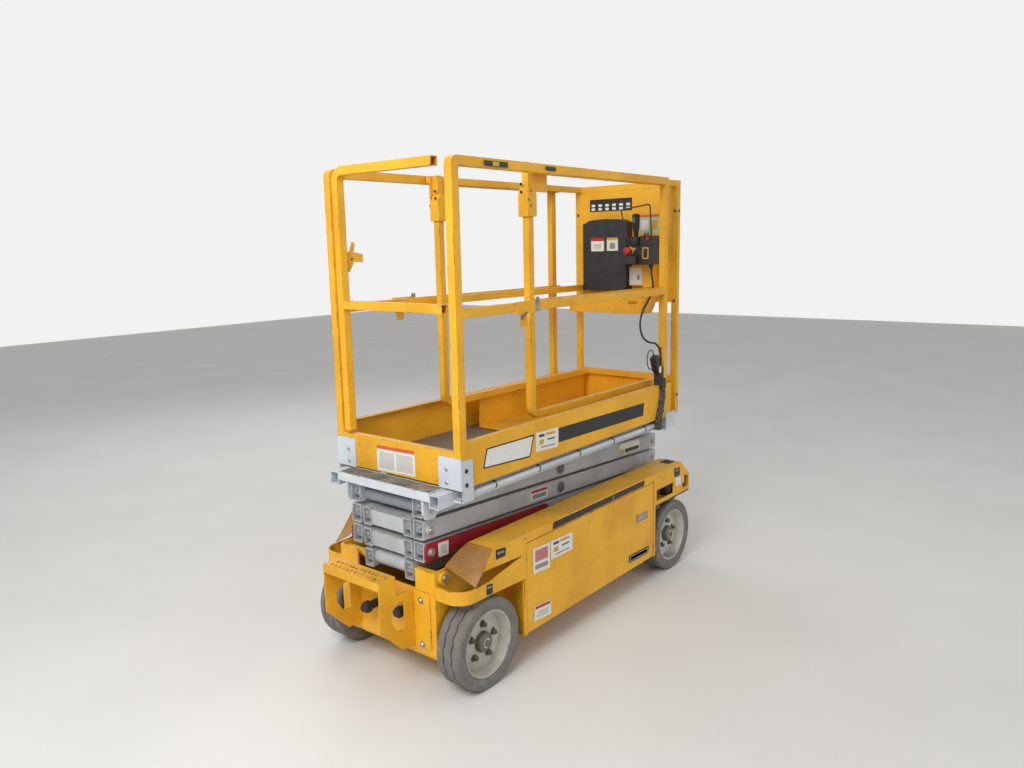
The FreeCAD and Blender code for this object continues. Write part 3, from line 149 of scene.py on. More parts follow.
def ramp(tree, source, stops):
    """Colours by a source's value: stops are (value, colour)."""
    made = add(tree, "ShaderNodeValToRGB", links=[("Fac", *source)])
    elements = made.color_ramp.elements
    while len(elements) > len(stops):
        elements.remove(elements[-1])
    while len(elements) < len(stops):
        elements.new(1.0)
    for element, (at, code) in zip(elements, stops):
        element.position = at
        element.color = linear(code)
    return made, "Color"


def rounded(tree, radius):
    """Normals as if every edge were rounded to a radius in millimetres."""
    return add(tree, "ShaderNodeBevel", [("samples", 4), ("Radius", radius * MM)]), "Normal"


def feed(tree, shader, socket, source):
    """Links a source to a socket of the shader."""
    tree.links.new(source[0].outputs[source[1]], shader.inputs[socket])


def roughen(tree, shader, source, low, high):
    """Roughness from low to high with the source."""
    feed(tree, shader, "Roughness", remap(tree, source, low=low, high=high))


def emboss(tree, shader, source, strength, height, normal=None):
    """Relief so many millimetres high."""
    links = [("Height", *source)] + ([("Normal", *normal)] if normal else [])
    made = add(tree, "ShaderNodeBump", [("Strength", strength), ("Distance", height * MM)], links)
    feed(tree, shader, "Normal", (made, "Normal"))


# Materials

def painted_steel(name, paint, shade, bare, scuff, dirt_and_shade, grime, rough=0.42):
    """Sprayed enamel on welded steel: an even gloss that has dulled, with rubbed edges that show darker
    primer, long dry scuffs and a film of dust in the low places."""
    material, tree, shader, place = blank_material(name)
    cloud = noise(tree, place, 260, 5.0, 0.62)
    mottle = noise(tree, place, 28, 8.0, 0.7)
    streak = noise(tree, stretched(tree, place, (1.0, 1.0, 9.0)), 45, 6.0, 0.75)
    gouge = noise(tree, place, 19, 9.0, 0.8)
    chips = noise(tree, place, 48, 8.0, 0.78)
    coat = ramp(tree, cloud, [(0.34, shade), (0.62, paint)])
    coat = cover_with(tree, dirt_and_shade, remap(tree, mottle, 0.60, 0.74, high=grime), coat)
    coat = cover_with(tree, bare, remap(tree, streak, 0.63, 0.70, high=scuff), coat)
    # dust settles on faces that look up
    facing = add(tree, "ShaderNodeNewGeometry"), "Normal"
    upward = add(tree, "ShaderNodeSeparateXYZ", links=[("Vector", *facing)]), "Z"
    settled = combine(tree, "MULTIPLY", remap(tree, upward, 0.75, 0.98, high=1.6 * grime),
                      remap(tree, cloud, 0.38, 0.62))
    coat = cover_with(tree, dirt_and_shade, settled, coat)
    # paint goes from the edges, and in clustered gouges on the faces
    along = add(tree, "ShaderNodeVectorMath", [("operation", "DOT_PRODUCT")],
                [(0, *rounded(tree, 6)), (1, *facing)]), "Value"
    rubbed = combine(tree, "MULTIPLY", remap(tree, along, 0.99, 0.93, high=0.9), remap(tree, chips, 0.53, 0.59))
    scraped = combine(tree, "MULTIPLY", remap(tree, cloud, 0.55, 0.66), remap(tree, gouge, 0.59, 0.63, high=0.85))
    coat = cover_with(tree, bare, combine(tree, "MAXIMUM", rubbed, scraped), coat)
    feed(tree, shader, "Base Color", coat)
    roughen(tree, shader, mottle, rough - 0.08, rough + 0.25)
    emboss(tree, shader, noise(tree, place, 3, 3.0), 0.12, 0.4, rounded(tree, 2.5))
    return material


def moulded_plastic(name, colour, shade, rough=0.5, grain=1.2):
    """Injection-moulded plastic: a fine even grain that breaks up the shine, greyed where hands rub it."""
    material, tree, shader, place = blank_material(name)
    cloud = noise(tree, place, 40, 6.0, 0.65)
    feed(tree, shader, "Base Color", ramp(tree, cloud, [(0.35, colour), (0.72, shade)]))
    roughen(tree, shader, cloud, rough - 0.1, rough + 0.15)
    emboss(tree, shader, noise(tree, place, grain, 2.0), 0.25, 0.2, rounded(tree, 3))
    return material


def rubber(name, colour, scuff, dark):
    """Non-marking tyre rubber: matt, cloudy grey with scuffed shoulders and dust rubbed into the tread."""
    material, tree, shader, place = blank_material(name)
    cloud = noise(tree, place, 35, 8.0, 0.72)
    feed(tree, shader, "Base Color", ramp(tree, cloud, [(0.2, dark), (0.5, colour), (0.82, scuff)]))
    shader.inputs["Roughness"].default_value = 0.86
    shader.inputs["Specular IOR Level"].default_value = 0.3
    emboss(tree, shader, cloud, 0.35, 0.8)
    return material


def bare_steel(name, colour, shade, rough=0.38, drawn=60, metal=1.0):
    """Rolled or machined steel: directional scratches in the metal and a brownish cloud of old oil."""
    material, tree, shader, place = blank_material(name)
    shader.inputs["Metallic"].default_value = metal
    lines = noise(tree, stretched(tree, place, (1.0, 14.0, 14.0)), drawn, 7.0, 0.7)
    feed(tree, shader, "Base Color", ramp(tree, lines, [(0.3, shade), (0.68, colour)]))
    roughen(tree, shader, lines, rough - 0.1, rough + 0.25)
    emboss(tree, shader, lines, 0.15, 0.2)
    return material


def vinyl_film(name, colour, aged, rough=0.4):
    """Stuck-on vinyl film: one even printed colour under a soft sheen, yellowed and scratched in patches."""
    material, tree, shader, place = blank_material(name)
    cloud = noise(tree, place, 22, 8.0, 0.7)
    feed(tree, shader, "Base Color", ramp(tree, cloud, [(0.55, colour), (0.9, aged)]))
    roughen(tree, shader, cloud, rough - 0.1, rough + 0.3)
    emboss(tree, shader, cloud, 0.1, 0.3)
    return material


def braided_sleeve(name, colour, dark):
    """Braided protective sleeve: crossing strands, drawn coarser than the real weave so that they show."""
    material, tree, shader, place = blank_material(name)
    strands = []
    for turn in (0.9, -0.9):
        leaned = add(tree, "ShaderNodeMapping", [("Rotation", (0.0, turn, turn))], [("Vector", *place)])
        waves = add(tree, "ShaderNodeTexWave", [("Scale", per_metre(32)), ("Distortion", 0.6)],
                    [("Vector", leaned, "Vector")])
        strands.append((waves, "Fac"))
    woven = combine(tree, "MULTIPLY", *strands)
    feed(tree, shader, "Base Color", ramp(tree, woven, [(0.15, dark), (0.6, colour)]))
    shader.inputs["Roughness"].default_value = 0.9
    emboss(tree, shader, woven, 0.6, 1.0)
    return material


def grit_strip(name, colour, worn):
    """Stuck-on anti-slip strip: dark mineral grains in resin, worn pale where feet land."""
    material, tree, shader, place = blank_material(name)
    grains = add(tree, "ShaderNodeTexVoronoi", [("Scale", per_metre(3))], [("Vector", *place)]), "Distance"
    cloud = noise(tree, place, 90, 7.0, 0.7)
    feed(tree, shader, "Base Color", ramp(tree, cloud, [(0.4, colour), (0.66, worn)]))
    shader.inputs["Roughness"].default_value = 0.95
    emboss(tree, shader, grains, 0.8, 0.8)
    return material


# colours of the paint, its shaded patches and what shows where it is gone, share of scuffs, dust's colour and share
YELLOW = painted_steel("yellow enamel", "#f2b524", "#dc9e18", "#4a3216", 0.3, "#8a6a34", 0.35)
# darker brown than the yellow enamel: dust and painted shade, for the sheets by the wheels
DUSTY_SHADED_YELLOW = painted_steel("dusty yellow enamel with painted shade", "#ad7a26", "#875d28", "#4a3216", 0.4, "#6e522c", 0.6)
SILVER = painted_steel("silver-white enamel", "#c2c6c9", "#a7aaac", "#6d655a", 0.35, "#6b645a", 0.4)
WHITE = painted_steel("white enamel", "#d6dce2", "#bec6cc", "#55504a", 0.25, "#77706a", 0.35)
BLUE_GREY = painted_steel("blue-grey enamel", "#8f979e", "#7c848b", "#55504a", 0.2, "#5a554e", 0.3)
BLACK = painted_steel("black chassis enamel", "#26272a", "#1b1c1e", "#5e564c", 0.25, "#4c463e", 0.5)
RED = painted_steel("red enamel", "#a81f28", "#871820", "#5a4a40", 0.3, "#5c3a34", 0.3)
RIM_PAINT = painted_steel("worn wheel enamel", "#cfccc2", "#b0aa9e", "#5f574d", 0.45, "#6a6258", 0.65)
BLACK_PLASTIC = moulded_plastic("black moulded plastic", "#1c1c1e", "#2e2e33")
GREY_CASE = moulded_plastic("grey case plastic", "#4b4d50", "#65676a")
RED_PLASTIC = moulded_plastic("red button plastic", "#c01822", "#a0141c", rough=0.35)
PAD_PLASTIC = moulded_plastic("pale nylon", "#cfccc0", "#b0ac9e")
JACKET = moulded_plastic("black cable jacket", "#161617", "#2c2b2a", rough=0.55, grain=2)
BOOT_RUBBER = moulded_plastic("soft black rubber", "#141415", "#232324", rough=0.7)
TYRE = rubber("grey non-marking rubber", "#787570", "#8f8c85", "#625f5a")
# painted shade: the dark colour of a ring laid in each tread groove's floor
GROOVE_SHADE = rubber("painted shade in tread grooves", "#3d3b38", "#4a4844", "#302e2c")
STEEL = bare_steel("machined steel", "#b8b6b0", "#77736c")
DULL_STEEL = bare_steel("oxidised fastener steel", "#8a8578", "#544e45", rough=0.5, metal=0.8)
ZINC = bare_steel("zinc-plated steel", "#c9c8c2", "#8f8d86", rough=0.35)
CHROME = bare_steel("chromed rod", "#e4e4e2", "#c9c8c4", rough=0.14)
DECK = bare_steel("worn deck plate", "#8d8577", "#5e564b", rough=0.55, drawn=90, metal=0.5)
BRAID = braided_sleeve("grey braided sleeve", "#77746c", "#2c2b28")
GRIT = grit_strip("anti-slip strip", "#55524d", "#8a857c")
INK = {key: vinyl_film(name, colour, aged) for key, name, colour, aged in (
    ("white", "white vinyl", "#e4e3dd", "#b9b3a2"), ("black", "black vinyl", "#1d1d1f", "#3a3833"),
    ("orange", "orange vinyl", "#d9572a", "#b06a48"), ("red", "red vinyl", "#b5282c", "#8a4540"),
    ("gold", "gold vinyl", "#c9a23c", "#a58d55"), ("grey", "grey vinyl", "#8b8c8a", "#a5a29a"),
    ("pink", "pale red vinyl", "#c4736f", "#b89a94"), ("blue", "dark blue vinyl", "#2e3550", "#4a4c58"),
    ("pale", "printed grey vinyl", "#c9c7c0", "#b3ae9f"), ("green", "pale green vinyl", "#b9c9a6", "#a3a48c"))}

SLOT_FINISH = {"yellow_paint": YELLOW, "white_paint": WHITE, "silver_paint": SILVER, "black_paint": BLACK,
               "grey_steel": DULL_STEEL, "black_plastic": BLACK_PLASTIC, "battery_case": GREY_CASE,
               "grey_metal": GREY_CASE, "tyre_grey": TYRE, "rim_paint": RIM_PAINT, "red_paint": RED,
               "pad_plastic": PAD_PLASTIC, "chrome_rod": CHROME, "deck_metal": DECK, "cable_jacket": JACKET,
               "braid": BRAID, "control_case": BLACK_PLASTIC, "red_plastic": RED_PLASTIC}

for row in frame["record"]["subparts"]:
    mesh = frame["nodes"][row["node"]].data
    mesh.materials.clear()
    mesh.materials.append(SLOT_FINISH[row["material_slot"]])


# Cords: the control cable's slack bend and the plug's short strap, routes in millimetres

CABLE_RUN = [(770, -234, 1480), (770, -234, 1436), (756, -254, 1394), (718, -270, 1352), (662, -278, 1312),
             (604, -282, 1270), (570, -288, 1212), (585, -295, 1152), (640, -300, 1122), (690, -306, 1118),
             (721, -313, 1084), (723, -315, 1042), (723, -315, 1001)]
CABLE_RADIUS = 4.5
CABLE_STEPS = 16
CABLE_SHARP = 50
STRAP_RUN = [(667, -311, 1055), (656, -312, 1086), (622, -310, 1092), (598, -313, 1060), (600, -314, 1020),
             (630, -313, 994), (671, -311, 1000)]
STRAP_RADIUS = 2.5


def shade_smooth(mesh, sharp):
    """Smooth faces, except over edges that bend by more degrees than sharp."""
    mesh.polygons.foreach_set("use_smooth", [True] * len(mesh.polygons))
    mesh.set_sharp_from_angle(angle=math.radians(sharp))


def route_curve(name, run):
    """The route as an open NURBS line through control points in metres."""
    curve = bpy.data.curves.new(name, "CURVE")
    curve.dimensions = "3D"
    curve.resolution_u = 12
    line = curve.splines.new("NURBS")
    line.points.add(len(run) - 1)
    for point, place in zip(line.points, run):
        point.co = (*(Vector(place) * MM), 1.0)
    line.order_u = 3
    line.use_endpoint_u = True
    made = bpy.data.objects.new(name, curve)
    bpy.context.scene.collection.objects.link(made)
    return made


def hang_cable():
    """Jacketed tube along the control cable's route. It crosses from the platform to the roll-out deck."""
    route = route_curve("cable_route", CABLE_RUN)
    bpy.context.view_layer.update()
    line = bpy.data.meshes.new_from_object(route.evaluated_get(bpy.context.evaluated_depsgraph_get()))
    path = [v.co.copy() for v in line.vertices]
    bpy.data.meshes.remove(line)
    bpy.data.objects.remove(route)
    tube = bmesh.new()
    up = Vector((0, 1, 0))
    rings = []
    for i, spot in enumerate(path):
        ahead = (path[min(i + 1, len(path) - 1)] - path[max(i - 1, 0)]).normalized()
        side = ahead.cross(up).normalized()
        up = side.cross(ahead)
        rings.append([tube.verts.new(spot + (side * math.cos(a) + up * math.sin(a)) * CABLE_RADIUS * MM)
                      for a in (2 * math.pi * k / CABLE_STEPS for k in range(CABLE_STEPS))])
    for a, b in zip(rings, rings[1:]):
        for k in range(CABLE_STEPS):
            j = (k + 1) % CABLE_STEPS
            tube.faces.new((a[k], a[j], b[j], b[k]))
    tube.faces.new(rings[0])
    tube.faces.new(rings[-1])
    bmesh.ops.recalc_face_normals(tube, faces=tube.faces)
    mesh = bpy.data.meshes.new("slack_cable")
    tube.to_mesh(mesh)
    tube.free()
    shade_smooth(mesh, CABLE_SHARP)
    mesh.materials.append(JACKET)
    cable = bpy.data.objects.new("slack_cable", mesh)
    bpy.context.scene.collection.objects.link(cable)
    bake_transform(cable)
    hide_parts("control_cable")


def loop_strap():
    """Thin rubber strap that ties the plug's cap to the plug."""
    strap = route_curve("strap_loop", STRAP_RUN)
    strap.data.bevel_depth = STRAP_RADIUS * MM
    strap.data.bevel_resolution = 4
    strap.data.materials.append(JACKET)
    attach(strap, "platform")
    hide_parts("plug_strap")


hang_cable()
loop_strap()


# Forms, in millimetres

def turned(form, at, along, outline, steps=32, closed=False, waves=0, lobes=(0, 0.0)):
    """Solid of revolution. The outline's points are (radius, distance along the axis, sway of that ring). Rings
    sway along the axis as many times a turn as there are waves. Lobes are how many bulges and their height."""
    along = Vector(along).normalized()
    side = Vector((0, 0, 1)) if abs(along.z) < 0.9 else Vector((1, 0, 0))
    side = (side - along * side.dot(along)).normalized()
    other = along.cross(side)
    rings = []
    for radius, far, *sway in outline:
        middle = Vector(at) + along * far
        if radius < 0.01:
            rings.append([form.verts.new(middle)])
            continue
        ring = []
        for i in range(steps):
            a = 2 * math.pi * i / steps
            wide = radius + lobes[1] * math.cos(lobes[0] * a)
            drift = along * (sway[0] * math.sin(waves * a)) if sway else Vector()
            ring.append(form.verts.new(middle + drift + (side * math.cos(a) + other * math.sin(a)) * wide))
        rings.append(ring)
    pairs = list(zip(rings, rings[1:]))
    if closed:
        pairs.append((rings[-1], rings[0]))
    for a, b in pairs:
        for i in range(steps):
            corners = [a[i % len(a)], a[(i + 1) % len(a)], b[(i + 1) % len(b)], b[i % len(b)]]
            face = [v for k, v in enumerate(corners) if v not in corners[:k]]
            if len(face) > 2:
                form.faces.new(face)
    if not closed:
        for ring in (rings[0], rings[-1]):
            if len(ring) > 2:
                form.faces.new(ring)


def plate(form, start, end):
    """Box between two opposite corners."""
    corners = [form.verts.new((x, y, z)) for x in (start[0], end[0]) for y in (start[1], end[1])
               for z in (start[2], end[2])]
    for loop in ((0, 1, 3, 2), (4, 6, 7, 5), (0, 4, 5, 1), (2, 3, 7, 6), (0, 2, 6, 4), (1, 5, 7, 3)):
        form.faces.new([corners[i] for i in loop])


def between(form, first, second):
    """Prism between two loops of the same length."""
    form.faces.new(first)
    form.faces.new(second)
    for i in range(len(first)):
        j = (i + 1) % len(first)
        form.faces.new((first[i], first[j], second[j], second[i]))


WASHER = 1.6
CHAMFER = 1.4


def hex_bolt(form, at, along, across=13.0, tall=6.0):
    """Hexagon head with a chamfered top, on its washer."""
    half, wide = across / math.sqrt(3), across * 0.95
    turned(form, at, along, [(0, 0), (wide, 0), (wide, WASHER), (0, WASHER)], 24)
    turned(form, at, along, [(0, WASHER), (half, WASHER), (half, tall), (half * 0.82, tall + CHAMFER),
                             (0, tall + CHAMFER)], 6)


def round_head(form, at, along, radius, tall):
    """Low domed head."""
    turned(form, at, along, [(0, 0), (radius, 0), (radius, tall * 0.5), (radius * 0.8, tall * 0.9), (0, tall)], 20)


# a sticker's thickness, that of a patch of colour on it, and the length of a clipped corner
FILM = 0.5
PATCH = 0.15
CLIP = 2.5


def film(form, corners, outward, thick):
    """Thin sticker with clipped corners. Its corners run round it from the top left."""
    loop = []
    for i, corner in enumerate(corners):
        for other in (corners[i - 1], corners[(i + 1) % 4]):
            run = other - corner
            loop.append(corner + run.normalized() * min(CLIP, run.length / 4))
    between(form, [form.verts.new(p) for p in loop], [form.verts.new(p + outward * thick) for p in loop])


def part_of(corners, left, right, top, bottom):
    """Corners of a smaller four-sided patch inside a four-sided sticker, by fractions of its sides."""
    a, b, c, d = corners
    return [a.lerp(b, u).lerp(d.lerp(c, u), v) for u, v in ((left, top), (right, top), (right, bottom),
                                                            (left, bottom))]


SHARP_ANGLE = 32
ROUNDED_ANGLE = 40


def piece(name, body, parts, bevel=0.0, flat=False):
    """Join forms of one or more finishes into a piece that rides on a body. Parts are (form, finish)."""
    mesh = bpy.data.meshes.new(name)
    whole = bmesh.new()
    for number, (form, finish) in enumerate(parts):
        bmesh.ops.recalc_face_normals(form, faces=form.faces)
        for face in form.faces:
            face.material_index = number
        loose = bpy.data.meshes.new("loose")
        form.to_mesh(loose)
        form.free()
        whole.from_mesh(loose)
        bpy.data.meshes.remove(loose)
        mesh.materials.append(finish)
    bmesh.ops.scale(whole, vec=(MM, MM, MM), verts=whole.verts)
    whole.to_mesh(mesh)
    whole.free()
    if not flat:
        shade_smooth(mesh, SHARP_ANGLE)
    made = bpy.data.objects.new(name, mesh)
    bpy.context.scene.collection.objects.link(made)
    if bevel:
        rounding = made.modifiers.new("rounding", "BEVEL")
        rounding.width = bevel * MM
        rounding.segments = 2
        rounding.limit_method = "ANGLE"
        rounding.angle_limit = math.radians(ROUNDED_ANGLE)
    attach(made, body)
    return made


# Wheels: grey tyres with two wavy grooves, dished rims with five nuts round a dark hub cap

SIDE_FACE = 381
WHEEL_RADIUS = 170
WHEELS = (("near_right", -630.5, -1), ("near_left", -630.5, 1), ("far_right", 747, -1), ("far_left", 747, 1))
# outlines are (radius, distance in from the outer face), and the grooves' points have their sway too
SWAY = 2.6
GROOVE_WAVES = 21
TREAD_STEPS = 126
TYRE_OUTLINE = [(125.6, 6), (133, 2.5), (150, 0.8), (159, 0.5), (165, 2.4), (168.8, 6.5), (170, 12),
                (170, 31.5, SWAY), (164, 32.6, SWAY), (164, 36.4, SWAY), (170, 37.5, SWAY),
                (170, 69, SWAY), (164, 70.1, SWAY), (164, 73.9, SWAY), (170, 75, SWAY),
                (170, 99), (168.5, 105), (164, 109), (158, 110.6), (150, 110.4), (133, 108.5), (125.6, 105)]
GROOVE_FLOORS = ((32.4, 36.6), (69.9, 74.1))
CAP_OUTLINE = [(38.4, 42.2), (37.6, 30), (35, 22.5), (24, 16.6), (20, 15.4), (19, 17), (0, 17)]
CAP_NUT = [(0, 17.2), (13, 17.2), (13, 11.5), (11, 10), (0, 10)]
WASHER_OUTLINE = [(0, 44.5), (15, 44.5), (13.5, 41), (0, 41)]
NUT_OUTLINE = [(0, 41), (11, 41), (11, 30), (9, 28), (0, 28)]
STUD_OUTLINE = [(0, 28), (5.5, 28), (5, 23), (0, 22.5)]
LIP_OUTLINE = [(117.6, 9.4), (118.6, 6.4), (121.5, 5.2), (124, 6.4), (125, 9.4), (121.3, 10.6)]
NUT_CIRCLE = 64
NUT_COUNT = 5
NUT_START = 12


def dress_wheel(corner, x, side):
    at, inward, body = Vector((x, side * SIDE_FACE, WHEEL_RADIUS)), Vector((0, -side, 0)), "wheel_" + corner
    tread, dirt_and_shade = bmesh.new(), bmesh.new()
    turned(tread, at, inward, TYRE_OUTLINE, TREAD_STEPS, closed=True, waves=GROOVE_WAVES)
    # a dark ring in each groove's floor is painted shade
    for low, high in GROOVE_FLOORS:
        turned(dirt_and_shade, at, inward, [(163, low, SWAY), (165.5, low, SWAY), (165.5, high, SWAY), (163, high, SWAY)],
               TREAD_STEPS, closed=True, waves=GROOVE_WAVES)
    tyre = piece("treaded_tyre_" + corner, body, [(tread, TYRE), (dirt_and_shade, GROOVE_SHADE)])
    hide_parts("tyre_" + corner)
    cap, nuts, lip = bmesh.new(), bmesh.new(), bmesh.new()
    turned(cap, at, inward, CAP_OUTLINE, 36)
    turned(nuts, at, inward, CAP_NUT, 6)
    for k in range(NUT_COUNT):
        a = math.radians(NUT_START + 360 / NUT_COUNT * k)
        spot = at + Vector((math.cos(a), 0, math.sin(a))) * NUT_CIRCLE
        for outline, steps in ((WASHER_OUTLINE, 24), (NUT_OUTLINE, 6), (STUD_OUTLINE, 16)):
            turned(nuts, spot, inward, outline, steps)
    turned(lip, at, inward, LIP_OUTLINE, 72, closed=True)
    piece("hub_and_nuts_" + corner, body, [(cap, DULL_STEEL), (nuts, DULL_STEEL)])
    piece("rim_lip_" + corner, body, [(lip, RIM_PAINT)])


for wheel in WHEELS:
    dress_wheel(*wheel)


# Scissor stack: fittings in the tubes' open ends, the blue-grey top cross tube and pin heads

PIN_X = -733.4
FAR_PIN_X = 874.5
MIDDLE_PIN_X = 70.6
# heights of the arms' ends, from the lowest
LEVELS = (427.3, 509.3, 591.3, 673.3)
# distance of the tubes' inner and outer faces from the middle
INNER_TUBE, OUTER_TUBE = (87, 130), (140, 191)
# node, near end's height, far end's height, inner and outer face
ARMS = tuple(row for k in range(3) for row in (
    ("inner_arms_%d" % (k + 1), LEVELS[k], LEVELS[k + 1], *INNER_TUBE),
    ("outer_arms_%d" % (k + 1), LEVELS[k + 1], LEVELS[k], *OUTER_TUBE)))
TAB_WALL = 3
TAB_INSET = 16
TAB_GAP = 5.5

for node, near_z, far_z, low, high in ARMS:
    tabs, heads = bmesh.new(), bmesh.new()
    for _, side in SIDES:
        for x, toward, z in ((PIN_X - TAB_INSET, -1, near_z), (FAR_PIN_X + TAB_INSET, 1, far_z)):
            face = x + TAB_WALL * toward
            plate(tabs, (x, side * (low + TAB_GAP), z - 12), (face, side * (high - TAB_GAP), z + 29))
            round_head(heads, (face, side * ((low + high) / 2 + 4), z + 9), (toward, 0, 0), 8, 4.5)
    piece("end_tabs_" + node, node, [(tabs, BLUE_GREY), (heads, ZINC)], bevel=1.0)

sleeve = bmesh.new()
turned(sleeve, (PIN_X + 20, -139, 666), (0, 1, 0), [(25.6, 0), (27.2, 0), (27.2, 278), (25.6, 278)], 40,
       closed=True)
piece("blue_cross_tube", "outer_arms_3", [(sleeve, BLUE_GREY)])

# body, pin's face, station, height, radius, finish
PIN_HEADS = (("chassis", 268, PIN_X, LEVELS[0], 13, ZINC), ("outer_arms_1", 206, PIN_X, LEVELS[1], 12, ZINC),
             ("outer_arms_2", 206, PIN_X, LEVELS[2], 11, ZINC),
             ("outer_arms_1", 196, MIDDLE_PIN_X, 468.3, 19, DULL_STEEL),
             ("outer_arms_2", 196, MIDDLE_PIN_X, 550.3, 19, DULL_STEEL),
             ("outer_arms_3", 196, MIDDLE_PIN_X, 632.3, 19, DULL_STEEL),
             ("outer_arms_2", 194, FAR_PIN_X, LEVELS[1], 11, ZINC),
             ("outer_arms_3", 194, FAR_PIN_X, LEVELS[2], 11, ZINC), ("platform", 209, PIN_X, LEVELS[3], 12, ZINC))
for number, (body, face, x, z, radius, finish) in enumerate(PIN_HEADS):
    heads = bmesh.new()
    outline = [(0, 0), (radius + 3, 0), (radius + 3, 1.6), (radius, 1.8), (radius - 1, 3.6),
               (radius * 0.45, 4.2), (radius * 0.4, 3.4), (0, 3.4)]
    for _, side in SIDES:
        turned(heads, (x, side * face, z), (0, side, 0), outline)
    piece("pin_heads_%s_%d" % (body, number), body, [(heads, finish)])


# Bolts and plugs on both sides: name, body, finish, places (x, y at the right side, z), way it faces, size.
# The flange's bolts are hexagon heads and their size is across the flats, the others' is a radius.

NEARWARD, SIDEWARD = (-1, 0, 0), (0, -1, 0)
FASTENERS = (
    ("flange_bolts", "chassis", ZINC, ((-780, -187, 340), (-780, -187, 171)), NEARWARD, 14),
    ("kick_bolts", "platform", YELLOW, ((-698, -203, 848), (-698, -203, 770)), NEARWARD, 6),
    ("corner_bolts", "platform", ZINC, ((-703, -261, 818), (-703, -261, 769)), NEARWARD, 7),
    ("corner_plugs", "platform", BLACK_PLASTIC, ((-677, -332, 817), (-677, -332, 766)), SIDEWARD, 8),
    ("far_plugs", "platform", BLACK_PLASTIC, ((729, -327, 806), (729, -327, 784)), SIDEWARD, 7),
    ("post_plugs", "extension", BLACK_PLASTIC, ((-209, -226, 1810), (-209, -226, 1782)), NEARWARD, 6),
    ("sleeve_bolts", "extension", DULL_STEEL, ((-191, -260, 1786), (-193, -260, 1730), (-206, -260, 1752)),
     SIDEWARD, 5),
    ("end_plugs", "extension", BLACK_PLASTIC, ((925, -296, 833), (925, -296, 1732)), SIDEWARD, 7),
    ("end_holes", "extension", BLACK_PLASTIC, ((912, -281, 1731), (912, -281, 1300)), NEARWARD, 7),
    ("door_screws", "chassis", DULL_STEEL, ((600, -381, 500), (-420, -381, 505), (-545, -381, 440)), SIDEWARD, 4),
)
for name, body, finish, places, facing, size in FASTENERS:
    for side_name, side in SIDES:
        heads = bmesh.new()
        for x, y, z in places:
            spot, way = (x, -side * y, z), (facing[0], -side * facing[1], facing[2])
            if name == "flange_bolts":
                hex_bolt(heads, spot, way, size)
            else:
                round_head(heads, spot, way, size, size * 0.45)
        piece(name + "_" + side_name, body, [(heads, finish)])


# Stickers, all blank: name, body, plane (axis 0 or 1 that it faces against, level), corners from the top left
# in that plane, ground colour, patches (left, right, top, bottom as fractions of the sides, colour)

